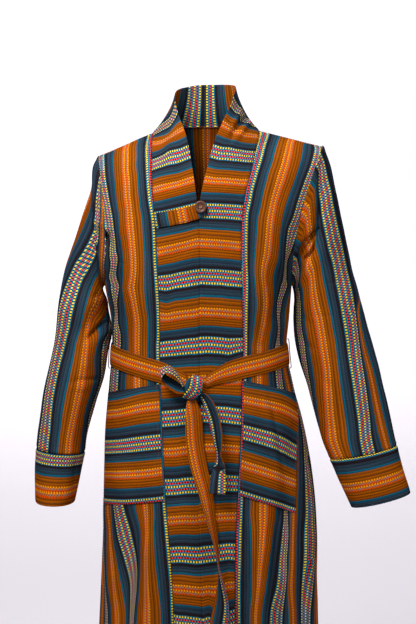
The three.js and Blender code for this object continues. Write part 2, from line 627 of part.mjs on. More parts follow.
// Belt along the pieces that it crosses, made from their own points, moved out.
function belt() {
  const layers = [[], []];
  const pieces = [
    ['bandRight', [0.62, 1 / 3, 0], 0], ['frontRight', PANEL_SHARES, 1],
    ['back', BACK_SHARES, 1], ['frontLeft', [...PANEL_SHARES].reverse(), 1],
    ['bandLeft', [0, 1 / 3, 2 / 3, 0.84], 1],
  ];
  for (const [name, shares, skip] of pieces) {
    const { at, stepU, stepV, sign } = SURFACES[name];
    const line = BELT_LINE[name];
    const table = line[line.length - 1][0] > line[0][0] ? line : [...line].reverse();
    for (const u of shares.slice(skip)) {
      const [middle] = along(table, u);
      const perRow = at(u, middle + 0.5).distanceTo(at(u, middle - 0.5));
      const rows = [[], []];
      for (const across of [-1, 0, 1]) {
        const v = middle + (across * BELT_WIDTH) / 2 / perRow;
        const normal = normalOf(at, u, v, stepU, stepV, sign);
        const knotted = BELT_AT_KNOT[name] ? BELT_AT_KNOT[name] * smoothstep(u, 0.1, 0.62) : 0;
        const rise = BELT_RISE + knotted;
        rows[0].push(at(u, v).addScaledVector(normal, rise + BELT_WALL / 2));
        rows[1].push(at(u, v).addScaledVector(normal, rise - BELT_WALL / 2));
      }
      layers[0].push(rows[0]);
      layers[1].push(rows[1]);
    }
  }
  return facingOut(layers[0], layers[1]);
}

function tail(table) {
  const rows = table.map((row, i) => [i, ...row]);
  const frames = steps(0, table.length - 1, 2 * (table.length - 1)).map((i) => {
    const [x, y, z, halfWidth, turn, crease] = along(rows, i);
    const at = new THREE.Vector3(x, y, z);
    const next = vector(along(rows, Math.min(i + 0.05, table.length - 1)));
    const last = vector(along(rows, Math.max(i - 0.05, 0)));
    const down = next.sub(last).normalize();
    const level = new THREE.Vector3(Math.cos(radians(turn)), Math.sin(radians(turn)), 0);
    const normal = level.cross(down).normalize();
    const across = down.clone().cross(normal).normalize();
    return { at, across, normal, halfWidth, crease };
  });
  return strip(frames, TAIL_WALL);
}

function bowLoop() {
  const tilt = radians(BOW_TILT);
  const depth = new THREE.Vector3(0, -Math.cos(tilt), -Math.sin(tilt));
  const rows = BOW_LINE.map((p, i) => [i, ...p]);
  const last = BOW_LINE.length - 1;
  const frames = steps(0, last, 2 * last).map((i) => {
    const [x, z] = along(rows, i);
    const [nx, nz] = along(rows, Math.min(i + 0.05, last));
    const [px, pz] = along(rows, Math.max(i - 0.05, 0));
    const ahead = new THREE.Vector3(nx - px, 0, nz - pz).normalize();
    const normal = ahead.clone().cross(depth).normalize();
    const at = new THREE.Vector3(x, BOW_BACK, z).addScaledVector(depth, BOW_WIDTH / 2);
    return { at, across: depth, normal, halfWidth: BOW_WIDTH / 2, crease: 0 };
  });
  return strip(frames, BOW_WALL);
}

// Rounded block with a flat-ish back, leaning like the wrap of the knot.
function knot() {
  const geometry = new THREE.SphereGeometry(1, 16, 10);
  const position = geometry.getAttribute('position');
  const lean = radians(KNOT.lean);
  for (let i = 0; i < position.count; i += 1) {
    const p = new THREE.Vector3().fromBufferAttribute(position, i);
    const size = (Math.abs(p.x) ** KNOT.square + Math.abs(p.y) ** KNOT.square
      + Math.abs(p.z) ** KNOT.square) ** (1 / KNOT.square);
    p.divideScalar(size);
    const x = p.x * KNOT.half[0] * (1 - 0.12 * p.z);
    const z = p.z * KNOT.half[2];
    position.setXYZ(
      i,
      KNOT.at[0] + x * Math.cos(lean) + z * Math.sin(lean),
      KNOT.at[1] + p.y * KNOT.half[1],
      KNOT.at[2] - x * Math.sin(lean) + z * Math.cos(lean),
    );
  }
  geometry.deleteAttribute('normal');
  geometry.deleteAttribute('uv');
  const merged = mergeVertices(geometry, 1e-3);
  merged.computeVertexNormals();
  return merged;
}

function tab() {
  const rows = TAB_LINE.map((row, i) => [i, ...row]);
  const frames = steps(0, TAB_LINE.length - 1, 9).map((i) => {
    const [x, y, z, halfWidth] = along(rows, i);
    const next = vector(along(rows, Math.min(i + 0.05, TAB_LINE.length - 1)));
    const last = vector(along(rows, Math.max(i - 0.05, 0)));
    const ahead = next.sub(last).normalize();
    const normal = new THREE.Vector3(0, 0, 1).cross(ahead).normalize().negate();
    const across = ahead.clone().cross(normal).normalize();
    return { at: new THREE.Vector3(x, y, z), across, normal, halfWidth, crease: 0.6 };
  });
  return strip(frames, TAB_WALL);
}

function button() {
  const bevel = 0.8;
  const disc = new THREE.Shape();
  disc.absarc(0, 0, BUTTON_DIAMETER / 2 - bevel, 0, Math.PI * 2, false);
  for (const [x, z] of [[-1, -1], [-1, 1], [1, -1], [1, 1]]) {
    const hole = new THREE.Path();
    const at = BUTTON_HOLE_PITCH / 2;
    hole.absarc(x * at, z * at, BUTTON_HOLE / 2 + bevel, 0, Math.PI * 2, true);
    disc.holes.push(hole);
  }
  const geometry = new THREE.ExtrudeGeometry(disc, {
    depth: BUTTON_THICKNESS - 2 * bevel, bevelEnabled: true, bevelThickness: bevel,
    bevelSize: bevel, bevelSegments: 1, curveSegments: 7,
  });
  geometry.translate(0, 0, bevel);
  geometry.deleteAttribute('normal');
  geometry.deleteAttribute('uv');
  const merged = mergeVertices(geometry, 1e-3);
  merged.computeVertexNormals();
  return merged;
}

// Narrow strap that leaves the side seam above the belt, passes outside it and returns below.
function carrier(side) {
  const [x, y, z] = along(SIDE_SEAM[side], 16.19);
  const rows = steps(0, 8, 8).map((i) => {
    const a = radians(-90 + (180 * i) / 8);
    const height = CARRIER.halfHeight * Math.sin(a);
    const wall = along(SIDE_SEAM[side], 16.19 - height / 29.5)[0];
    const reach = HALF + 0.6 + CARRIER.wall / 2 + CARRIER.reach * Math.cos(a) ** 0.55;
    return new THREE.Vector3(wall + side * reach, y, z + height);
  });
  const frames = rows.map((at, i) => {
    const before = rows[Math.max(i - 1, 0)];
    const after = rows[Math.min(i + 1, rows.length - 1)];
    const ahead = after.clone().sub(before).normalize();
    const across = new THREE.Vector3(0, 1, 0);
    return { at, across, normal: ahead.clone().cross(across).normalize(), halfWidth: CARRIER.halfWidth, crease: 0 };
  });
  return strip(frames, CARRIER.wall);
}

// ---- Materials and assembly ---------------------------------------------------------------

const cloth = (color) => new THREE.MeshStandardMaterial({
  color, roughness: 0.9, metalness: 0, side: THREE.FrontSide,
});
const STRIPED = 0x7a4a20;
const SLATE = 0x2c3f52;
const WOOD = 0x4a2a1a;
const THREAD = 0xcdbf9c;

const robe = new THREE.Group();
robe.name = 'kimono_robe';

function add(parent, name, geometry, material) {
  const mesh = new THREE.Mesh(geometry, material);
  mesh.name = name;
  parent.add(mesh);
  return mesh;
}

const body = new THREE.Group();
body.name = 'body';
robe.add(body);
add(body, 'back', back(), cloth(STRIPED));
add(body, 'front_right', front(RIGHT), cloth(STRIPED));
add(body, 'front_left', front(LEFT), cloth(STRIPED));
add(body, 'band_right', band(RIGHT), cloth(SLATE));
add(body, 'band_left', band(LEFT), cloth(SLATE));
add(body, 'pocket_right', pocket(RIGHT), cloth(STRIPED));
add(body, 'pocket_left', pocket(LEFT), cloth(STRIPED));

const sleeves = new THREE.Group();
sleeves.name = 'sleeves';
robe.add(sleeves);
add(sleeves, 'sleeve_right', sleeve(RIGHT), cloth(STRIPED));
add(sleeves, 'sleeve_left', sleeve(LEFT), cloth(STRIPED));
add(sleeves, 'cuff_right', cuff(RIGHT), cloth(SLATE));
add(sleeves, 'cuff_left', cuff(LEFT), cloth(SLATE));

const fastening = new THREE.Group();
fastening.name = 'fastening';
robe.add(fastening);
add(fastening, 'button_tab', tab(), cloth(SLATE));
const coconut = new THREE.MeshStandardMaterial({ color: WOOD, roughness: 0.45, metalness: 0 });
const disc = add(fastening, 'button', button(), coconut);
disc.position.fromArray(BUTTON_AT);
disc.rotation.set(Math.PI / 2, 0, 0);

const sash = new THREE.Group();
sash.name = 'belt';
robe.add(sash);
add(sash, 'belt_waist', belt(), cloth(STRIPED));
add(sash, 'belt_knot', knot(), cloth(SLATE));
add(sash, 'belt_bow_loop', bowLoop(), cloth(SLATE));
add(sash, 'belt_tail_long', tail(TAIL_A), cloth(STRIPED));
add(sash, 'belt_tail_short', tail(TAIL_B), cloth(SLATE));
add(sash, 'belt_carrier_right', carrier(RIGHT), cloth(THREAD));
add(sash, 'belt_carrier_left', carrier(LEFT), cloth(SLATE));

export default robe;
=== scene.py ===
"""Cotton kimono robe: the cloth, trims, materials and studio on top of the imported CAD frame."""
import math

import bpy
import numpy as np
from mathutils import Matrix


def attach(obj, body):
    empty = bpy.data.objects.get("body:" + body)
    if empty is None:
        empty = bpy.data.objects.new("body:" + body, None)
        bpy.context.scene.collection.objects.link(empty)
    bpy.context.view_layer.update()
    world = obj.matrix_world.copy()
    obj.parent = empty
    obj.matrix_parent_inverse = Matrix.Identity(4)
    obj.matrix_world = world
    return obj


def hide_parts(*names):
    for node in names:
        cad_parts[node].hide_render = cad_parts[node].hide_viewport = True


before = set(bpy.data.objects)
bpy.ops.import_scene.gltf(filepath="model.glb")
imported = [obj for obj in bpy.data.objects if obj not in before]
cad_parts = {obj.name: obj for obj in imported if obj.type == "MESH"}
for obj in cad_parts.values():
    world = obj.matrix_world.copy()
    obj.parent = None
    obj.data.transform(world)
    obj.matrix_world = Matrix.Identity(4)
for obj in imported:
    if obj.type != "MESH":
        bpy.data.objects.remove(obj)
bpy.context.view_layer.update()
MM = 0.001

# ---- Camera: the photograph's own viewpoint ------------------------------------------------
WIDE, HIGH = 416, 624    # the photograph, in pixels
FOCAL, PITCH, EYE = 1836.6, math.radians(5.35), (0.0, -3200.0, -20.0)    # pixels, angle, millimetres
SENSOR = 24
camera_data = bpy.data.cameras.new("camera")
camera_data.sensor_fit = "VERTICAL"
camera_data.sensor_height = SENSOR
camera_data.lens = SENSOR * FOCAL / HIGH
camera_data.clip_end = 50
camera = bpy.data.objects.new("camera", camera_data)
camera.location = [c * MM for c in EYE]
camera.rotation_euler = (math.pi / 2 - PITCH, 0, 0)
bpy.context.scene.collection.objects.link(camera)
bpy.context.scene.camera = camera
bpy.context.scene.view_settings.view_transform = "Standard"

# ---- The garment's lines, in millimetres: the values of the part's source, but for TAIL_B ---------
RIGHT, LEFT = -1, 1    # the wearer's
SIDES = ((RIGHT, "right"), (LEFT, "left"))
BAND_SEAM = {
    RIGHT: [
        [0, -96, 8, -8], [1, -97, -22, -22], [2, -97, -48, -37], [4, -96, -78, -74],
        [6, -93, -94, -121], [8, -89, -102, -171], [10, -86, -106, -222], [12, -84, -106, -269],
        [14, -82, -102, -324], [16, -82, -99, -375], [18, -81, -102, -435], [20, -78, -114, -510],
        [22, -74, -123, -595], [24, -68, -129, -679], [26, -61, -133, -774], [28, -58, -136, -880],
        [30, -58, -139, -1000], [32, -58, -142, -1128],
    ],
    LEFT: [
        [0, 89, 8, -4], [1, 88, -20, -17], [2, 83, -46, -34], [4, 74, -78, -72], [6, 62, -94, -118],
        [8, 57, -102, -169], [10, 57, -106, -222], [12, 58, -106, -269], [14, 59, -102, -324],
        [16, 60, -99, -375], [18, 58, -102, -435], [20, 57, -114, -510], [22, 52, -123, -595],
        [24, 48, -129, -679], [26, 46, -133, -774], [28, 46, -136, -880], [30, 46, -139, -1000],
        [32, 46, -142, -1128],
    ],
}
FREE_EDGE = {
    RIGHT: [
        [-6, -3, 64, 77], [-5, -20, 60, 76], [-4, -35, 51, 73], [-3, -47, 37, 70], [-2, -54, 20, 66],
        [-1, -57, 2, 60], [0, -57, -17, 50], [1, -54, -38, 35], [2, -48, -55, 17], [3, -41, -68, -1],
        [4, -35, -80, -20], [6, -26, -97, -68], [8, -18, -108, -127], [10, -12, -111, -181],
        [12, -9, -111, -243], [14, -8, -108, -311], [16, -8, -105, -366], [18, -8, -107, -431],
        [20, -8, -119, -509], [22, -8, -128, -594], [24, -8, -134, -679], [26, -7, -138, -773],
        [28, -5, -141, -879], [30, -5, -144, -1000], [32, -5, -147, -1127],
    ],
    LEFT: [
        [-6, -3, 64, 77], [-5, 14, 60, 77], [-4, 29, 51, 77], [-3, 40, 37, 76], [-2, 47, 20, 74],
        [-1, 48, 2, 67], [0, 44, -16, 55], [1, 39, -38, 39], [2, 30, -56, 22], [3, 22, -68, 4],
        [4, 13, -80, -16], [6, -2, -98, -68], [8, -14, -111, -125], [10, -14, -115, -181],
        [12, -13, -115, -243], [14, -14, -112, -314], [16, -14, -109, -369], [18, -14, -111, -432],
        [20, -14, -123, -509], [22, -14, -132, -593], [24, -14, -138, -678], [26, -11, -142, -772],
        [28, -8, -145, -878], [30, -8, -148, -1000], [32, -8, -151, -1127],
    ],
}
BAND_BULGE = [
    [-6, 0, -3, 1], [-4, -3, -2, 1], [-2, -5, 0, 2], [0, -6, 3, 1], [2, -3, 1, 2], [4, 0, -3, 2],
    [8, 0, -3, 1], [12, 0, -3, 0], [18, 0, -2.4, 0], [24, 0, -3, 0], [32, 0, -3, 0],
]
CENTRE_BACK = [
    [0, -3, 68, 3], [1, -3, 78, -14], [2, -3, 86, -34], [4, -2, 96, -76], [6, -1, 102, -122],
    [8, -1, 105, -171], [10, -1, 103, -222], [12, -2, 99, -271], [14, -4, 92, -330], [16, -6, 86, -387],
    [18, -4, 95, -447], [20, 0, 114, -527], [22, 2, 126, -614], [24, 3, 132, -702], [26, 3, 136, -800],
    [28, 3, 139, -903], [30, 3, 142, -1012], [32, 3, 145, -1130],
]
SIDE_SEAM = {
    RIGHT: [
        [12, -179, 2, -271], [14, -169, 2, -331], [16, -167, 0, -387], [18, -173, 2, -449],
        [20, -180, 4, -529], [22, -183, 4, -618], [24, -185, 4, -706], [26, -189, 4, -804],
        [28, -194, 4, -905], [30, -198, 4, -1013], [32, -202, 4, -1130],
    ],
    LEFT: [
        [12, 145, 2, -271], [14, 141, 2, -331], [16, 137, 0, -387], [18, 149, 2, -449],
        [20, 170, 4, -529], [22, 185, 4, -618], [24, 192, 4, -706], [26, 193, 4, -804],
        [28, 196, 4, -905], [30, 199, 4, -1013], [32, 203, 4, -1130],
    ],
}
HEADING = [
    [0, 0, 0], [1, 4, 12], [2, 7, 20], [4, 8, 30], [6, 8, 42], [8, 8, 55], [10, 8, 72], [12, 8, 90],
    [14, 8, 90], [32, 8, 90],
]
ARMHOLE = {
    RIGHT: {
        "top": [-191, 8, -49],
        "foot": [-179, 2, -271],
        "front": 60,
        "back": 64,
        "bendFront": 7,
        "bendBack": 4,
    },
    LEFT: {
        "top": [201, 8, -33],
        "foot": [145, 2, -271],
        "front": 62,
        "back": 64,
        "bendFront": 14,
        "bendBack": 6,
    },
}
SLEEVE_RINGS = {
    RIGHT: [
        [1, -200, -67, -184, -278, 9, 60, 63], [2, -203, -102, -185, -289, 10, 60, 62],
        [3, -213, -134, -185, -301, 11, 60, 61], [4, -227, -177, -184, -317, 12, 61, 60],
        [5, -240, -215, -180, -335, 10, 63, 60], [6, -251, -250, -176, -354, 6, 64, 60],
        [7, -260, -298, -174, -376, 1, 65, 60], [8, -266, -355, -177, -400, -4, 66, 60],
        [9, -277, -410, -184, -438, -9, 65, 58], [10, -287, -459, -196, -477, -14, 62, 55],
        [11, -295, -516, -211, -526, -20, 57, 51], [12, -299, -555, -216, -562, -26, 52, 47],
    ],
    LEFT: [
        [1, 213, -65, 149, -278, 9, 58, 61], [2, 223, -112, 151, -287, 10, 57, 59],
        [3, 232, -155, 152, -300, 11, 56, 57], [4, 242, -198, 151, -316, 12, 54, 55],
        [5, 251, -243, 150, -337, 12, 52, 53], [6, 263, -282, 152, -363, 11, 50, 51],
        [7, 276, -333, 159, -396, 9, 49, 50], [8, 288, -375, 169, -430, 6, 48, 49],
        [9, 300, -418, 180, -467, 2, 47, 48], [10, 316, -488, 193, -515, -4, 45, 46],
        [11, 324, -525, 201, -546, -12, 42, 43], [12, 330, -552, 214, -576, -20, 38, 39],
    ],
}
CUFF_RINGS = {
    RIGHT: [
        [12, -299, -555, -216, -562, -26, 52, 47], [13, -301, -592, -223, -596, -30, 53, 48],
        [14, -300, -647, -234, -648, -35, 54, 48],
    ],
    LEFT: [
        [12, 330, -552, 214, -576, -20, 38, 39], [13, 339, -588, 231, -614, -25, 37, 38],
        [14, 353, -634, 252, -659, -31, 35, 36],
    ],
}
FRONT_FOLDS = [
    [190, -70, 190, -165, 15, -9], [190, -165, 168, -228, 15, -8], [214, -80, 222, -210, 20, 4],
    [-188, -160, -180, -215, 15, -7], [-176, -305, -218, -362, 16, -7], [-190, -285, -246, -330, 18, 4],
    [136, -235, 118, -345, 16, -6], [92, -200, 84, -350, 20, 3], [-158, -230, -156, -350, 14, -5],
    [-120, -190, -116, -350, 22, 2.5], [-150, -560, -120, -760, 22, 6],
    [-118, -640, -96, -1128, 20, -8], [-160, -700, -150, -1128, 24, 7], [150, -500, 128, -760, 20, -6],
    [104, -600, 92, -1128, 24, 7], [128, -760, 132, -1128, 20, -7], [168, -640, 170, -1128, 22, 6],
]
BACK_FOLDS = [
    [-120, -110, -150, -240, 24, -4], [126, -110, 118, -240, 24, -4], [-60, -240, -48, -372, 22, -5],
    [52, -250, 40, -372, 22, -5], [-4, -200, -8, -370, 26, 3], [-110, -270, -98, -372, 18, -4],
    [104, -270, 92, -372, 18, -4], [-90, -420, -112, -1128, 26, -9], [-44, -430, -54, -1128, 26, 8],
    [2, -420, -2, -1128, 26, -8], [48, -430, 56, -1128, 26, 9], [96, -420, 112, -1128, 26, -9],
    [-140, -520, -160, -1128, 24, 6], [144, -520, 162, -1128, 24, 6],
]
POCKETS = {
    RIGHT: {
        "mouthIn": 17.95,
        "mouthOut": 18.35,
        "footIn": 22.75,
        "footOut": 22.8,
        "mouth": .84,
        "foot": .8,
    },
    LEFT: {
        "mouthIn": 17.75,
        "mouthOut": 18.4,
        "footIn": 22.5,
        "footOut": 23.15,
        "mouth": .84,
        "foot": .52,
    },
}
BELT_LINE = {
    "bandRight": [[.62, 17.98], [.3, 17.62], [0, 17.3]],
    "frontRight": [[0, 17.3], [.15, 17.05], [.35, 16.75], [.65, 16.4], [1, 16.18]],
    "back": [[-1, 16.18], [-.5, 16.1], [0, 16.06], [.5, 16.1], [1, 16.2]],
    "frontLeft": [[1, 16.2], [.65, 16.32], [.35, 16.6], [.15, 16.85], [0, 17.05]],
    "bandLeft": [[0, 17.05], [.5, 17.45], [.84, 17.86]],
}
BELT_AT_KNOT = 3.1    # how much further the belt stands off beside the knot
TAB_LINE = [
    [-88, -104.2, -155.5, 13], [-72, -108.2, -152.5, 13], [-54, -111.4, -149, 13],
    [-36, -113.6, -145, 12.8], [-20, -115.4, -140.5, 12.4], [-8, -116.2, -137.5, 10],
    [-1, -116.6, -136, 5],
]
BOW_LINE = [
    [-42, -427], [-52, -411], [-64, -401], [-73, -401], [-79, -409], [-78, -420], [-71, -429],
    [-61, -436], [-51, -441], [-42, -444],
]
TAIL_A = [
    [-28, -126, -457, 7, 0, 2], [-26, -129, -473, 12, 4, 4], [-24, -131, -492, 14.5, 6, 4],
    [-22, -133, -530, 15, 8, 3.5], [-15, -139, -570, 14.5, 14, 3], [-4, -147, -610, 14.5, 34, 3],
    [4, -154, -650, 15, 56, 2.5], [13, -161, -694, 15.5, 76, 2], [19, -165, -738, 16, 92, 1.5],
    [22, -166, -764, 16, 108, 1], [23, -164, -800, 16.5, 138, 1], [18, -159, -838, 17, 152, 1.5],
    [12, -157, -880, 17, 158, 1.5], [8, -156, -916, 17, 160, 1.5],
]
TAIL_B = [
    [-9.4, -130, -448, 7, -38, 2], [.5, -134, -462, 10.8, -38, 2.5], [9, -138, -484, 12.8, -40, 2.5],
    [14.5, -140, -510, 13.8, -48, 2], [16.5, -141, -532, 14.2, -60, 2],
    [18, -142, -549, 13.6, -72, 1.5], [19.5, -144, -562, 13.4, -58, 1.5],
    [18, -148, -578, 13.4, -34, 2], [16.5, -153, -596, 14, -22, 2.5], [15.5, -157, -612, 14, -16, 2.5],
]
KNOT = { "at": [-25.5, -125, -436], "half": [15, 10.6, 19.5], "lean": 14, "square": 2.6 }
CARRIER = { "halfWidth": 2.5, "wall": 1.2, "reach": 4.3, "halfHeight": 26 }

CLOTH, ROW_DEGREES, UNDERARM, HEM = 1.6, 15, 12, 32
BELT_WIDTH, BELT_WALL = 37, 2.4
POCKET_RISE = CLOTH / 2 + 1.5
BELT_RISE = CLOTH / 2 + 0.85 + BELT_WALL / 2


# ---- Curves and surfaces, as in the part's source, on whole arrays --------------------------
def cubic(t, h, y0, y1, m0, m1):
    """Cubic from y0 to y1 over a step h, with slopes m0 and m1; t is the share of the step."""
    t2, t3 = t * t, t * t * t
    return ((2 * t3 - 3 * t2 + 1) * y0 + (t3 - 2 * t2 + t) * h * m0
            + (3 * t2 - 2 * t3) * y1 + (t3 - t2) * h * m1)


def through(x, y, m, pos, *column):
    """Curve through the points (x, y) with slopes m, at pos; column picks a curve for each place."""
    i = np.clip(np.searchsorted(x, pos) - 1, 0, len(x) - 2)
    h = (x[i + 1] - x[i])[:, None]
    t = ((pos - x[i]) / h[:, 0])[:, None]
    return cubic(t, h, y[(i, *column)], y[(i + 1, *column)], m[(i, *column)], m[(i + 1, *column)])


def slopes(x, y):
    m = np.empty_like(y)
    m[0], m[-1] = (y[1] - y[0]) / (x[1] - x[0]), (y[-1] - y[-2]) / (x[-1] - x[-2])
    span = (x[2:] - x[:-2]).reshape((-1,) + (1,) * (y.ndim - 1))
    m[1:-1] = (y[2:] - y[:-2]) / span
    return m


def along(rows, pos):
    a = np.array(rows, float)
    x, y = a[:, 0], a[:, 1:]
    return through(x, y, slopes(x, y), np.atleast_1d(np.asarray(pos, float)))


def smooth(x, a, b):
    t = np.clip((x - a) / (b - a), 0, 1)
    return t * t * (3 - 2 * t)


def vec(*c):
    return np.stack(np.broadcast_arrays(*c), axis=-1).astype(float)


def unit(v):
    return v / np.maximum(np.linalg.norm(v, axis=-1, keepdims=True), 1e-9)


def armhole(side, degrees):
    hole = ARMHOLE[side]
    top, foot = np.array(hole["top"], float), np.array(hole["foot"], float)
    degrees = np.asarray(degrees, float)
    c, s = np.cos(np.radians(degrees)), np.sin(np.radians(degrees))
    p = (top + foot) / 2 + ((top - foot) / 2) * c[:, None]
    p[:, 1] -= s * np.where(s > 0, hole["front"], hole["back"])
    p[:, 0] -= side * s * s * np.where(s > 0, hole["bendFront"], hole["bendBack"])
    return p


def outer_end(side, v, facing):
    a = armhole(side, facing * ROW_DEGREES * np.minimum(v, UNDERARM))
    return np.where((v <= UNDERARM)[:, None], a, along(SIDE_SEAM[side], np.maximum(v, UNDERARM)))


def neck_seam(side, v):
    s, b = np.array(BAND_SEAM[side][0][1:], float), np.array(CENTRE_BACK[0][1:], float)
    a = np.radians(-np.asarray(v, float) * ROW_DEGREES)
    return vec(b[0] + (s[0] - b[0]) * np.cos(a), s[1] + (b[1] - s[1]) * np.sin(a),
               s[2] + (b[2] - s[2]) * np.sin(a))


def panel_row(inner, outer, side, facing, lead, turn, u):
    reach = 0.39 * np.linalg.norm(outer - inner, axis=1)[:, None]
    lead, turn, rise = np.radians(lead), np.radians(turn), (outer[:, 2] - inner[:, 2]) / 3
    h1 = inner + vec(side * np.cos(lead), facing * np.sin(lead), 0 * lead) * reach
    h2 = outer - vec(side * np.cos(turn), facing * np.sin(turn), 0 * turn) * reach
    h1[:, 2], h2[:, 2] = inner[:, 2] + rise, outer[:, 2] - rise
    u = u[:, None]
    w = 1 - u
    return w**3 * inner + 3 * w * w * u * h1 + 3 * w * u * u * h2 + u**3 * outer


def front_base(side):
    def at(u, v):
        heading = along(HEADING, v)
        return panel_row(along(BAND_SEAM[side], v), outer_end(side, v, 1), side, 1,
                         heading[:, 0], heading[:, 1], u)
    return at


def back_row(side, share, v):
    turn = along(HEADING, v)[:, 1]
    return panel_row(along(CENTRE_BACK, v), outer_end(side, v, -1), side, -1, 0 * turn, turn, share)


def back_top(side, share):
    neck = neck_seam(side, -6 + 6 * share / 0.5)
    start, end = neck_seam(side, 0 * share), armhole(side, 0 * share)
    shoulder = start + (end - start) * ((share - 0.5) / 0.5)[:, None]
    return np.where((share <= 0.5)[:, None], neck, shoulder)


def back_base(u, v):
    out = np.empty((len(u), 3))
    for side in (RIGHT, LEFT):
        m = (u < 0) if side == RIGHT else (u >= 0)
        if m.any():
            share, rows = np.abs(u[m]), v[m]
            off = back_top(side, share) - back_row(side, share, 0 * rows)
            out[m] = back_row(side, share, rows) + off * (1 - smooth(rows, 0, 4))[:, None]
    return out


def band_base(side):
    def at(u, v):
        seam = np.where((v < 0)[:, None], neck_seam(side, np.minimum(v, 0)),
                        along(BAND_SEAM[side], np.maximum(v, 0)))
        bulge = along(BAND_BULGE, v) * [side, 1, 1]
        k = u[:, None]
        return seam + (along(FREE_EDGE[side], v) - seam) * k + bulge * (4 * k * (1 - k))
    return at


def ring_point(ring, degrees):
    _, ox, oz, ix, iz, y, front, rear = ring
    c, s = np.cos(np.radians(degrees)), np.sin(np.radians(degrees))
    return vec((ox + ix) / 2 + ((ox - ix) / 2) * c, y - s * np.where(s > 0, front, rear),
               (oz + iz) / 2 + ((oz - iz) / 2) * c)


def stacked(positions, rings, v):
    x = np.array(positions, float)
    return through(x, rings, slopes(x, rings), v, np.arange(len(v)))


def sleeve_base(side):
    def at(degrees, v):
        first = armhole(side, degrees)
        clear = 0.7 + 1.3 * ((1 - np.cos(np.radians(degrees))) / 2) ** 2
        first[:, 0] += side * clear
        first[:, 2] -= 0.25 * clear
        rings = np.stack([first] + [ring_point(r, degrees) for r in SLEEVE_RINGS[side]])
        return stacked([0] + [r[0] for r in SLEEVE_RINGS[side]], rings, v)
    return at


def cuff_base(side):
    def at(degrees, v):
        return stacked([r[0] for r in CUFF_RINGS[side]],
                       np.stack([ring_point(r, degrees) for r in CUFF_RINGS[side]]), v)
    return at


def normal_of(at, u, v, du, dv, sign):
    n = np.cross(at(u + du, v) - at(u - du, v), at(u, v + dv) - at(u, v - dv))
    return sign * unit(n)


def fold_height(folds, x, z):
    h = 0 * x
    for x0, z0, x1, z1, half, depth in folds:
        dx, dz = x1 - x0, z1 - z0
        length = math.hypot(dx, dz)
        share = ((x - x0) * dx + (z - z0) * dz) / length**2
        aside = ((x - x0) * dz - (z - z0) * dx) / length
        end = 1 if z1 < -1100 else smooth(1.15 - share, 0, 0.45)
        h = h + depth * smooth(share + 0.15, 0, 0.45) * end * np.exp(-((aside / half) ** 2))
    return h


def folded(base, du, dv, sign, hold):
    def at(u, v):
        p = base(u, v)
        n = normal_of(base, u, v, du, dv, sign)
        h = (smooth(-n[:, 1], 0.05, 0.6) * fold_height(FRONT_FOLDS, p[:, 0], p[:, 2])
             + smooth(n[:, 1], 0.05, 0.6) * fold_height(BACK_FOLDS, p[:, 0], p[:, 2]))
        return p + n * (h * hold(u, v))[:, None]
    return at


def belt_hold(v):
    return smooth(np.abs(v - 17), 1.5, 3.2)


def panel_hold(u, v):
    return smooth(np.abs(u), 0, 0.16) * smooth(1 - np.abs(u), 0, 0.16) * smooth(v, 0, 2) * belt_hold(v)


def back_hold(u, v):
    return smooth(1 - np.abs(u), 0, 0.14) * smooth(v, 0, 2) * belt_hold(v)


def sleeve_hold(u, v):
    return smooth(v, 0, 1.6) * smooth(12 - v, 0, 1.6)


def surface_of(base, step, sign, hold=None):
    """A surface at(u, v), its steps in u and v for slopes, and the sign of its outward normal."""
    return (folded(base, step, ROW_STEP, sign, hold) if hold else base), step, ROW_STEP, sign


SHARE_STEP, DEGREE_STEP, ROW_STEP = 1e-3, 0.1, 1e-2
SURFACE = {"back": surface_of(back_base, SHARE_STEP, 1, back_hold)}
for side, word in SIDES:
    SURFACE["front_" + word] = surface_of(front_base(side), SHARE_STEP, -side, panel_hold)
    SURFACE["band_" + word] = surface_of(band_base(side), SHARE_STEP, side)
    SURFACE["sleeve_" + word] = surface_of(sleeve_base(side), DEGREE_STEP, side, sleeve_hold)
    SURFACE["cuff_" + word] = surface_of(cuff_base(side), DEGREE_STEP, side)


# ---- Stripe charts: where the woven repeat lies on each piece, in millimetres of cloth ------
# Across the repeat of 116.5 mm: dotted band 0-27, black 27-32, slate 32-42.5, teal to 46, brown to
# 97 with its dotted centre at 72, teal to 101, slate to 111, black to 116.5.
REPEAT = 116.5


def monotone(x, y, q):
    """Monotone cubic through the points, straight beyond the ends."""
    x, y, q = np.asarray(x, float), np.asarray(y, float), np.asarray(q, float)
    h = np.diff(x)
    d = np.diff(y) / h
    m = np.empty_like(x)
    m[0], m[-1] = d[0], d[-1]
    if len(x) > 2:
        w1, w2 = 2 * h[1:] + h[:-1], h[1:] + 2 * h[:-1]
        ok = d[1:] * d[:-1] > 0
        safe = np.where(ok, d[:-1], 1), np.where(ok, d[1:], 1)
        m[1:-1] = np.where(ok, (w1 + w2) / (w1 / safe[0] + w2 / safe[1]), 0)
    i = np.clip(np.searchsorted(x, q) - 1, 0, len(x) - 2)
    inside = cubic((q - x[i]) / h[i], h[i], y[i], y[i + 1], m[i], m[i + 1])
    below, above = y[0] + m[0] * (q - x[0]), y[-1] + m[-1] * (q - x[-1])
    return np.where(q < x[0], below, np.where(q > x[-1], above, inside))


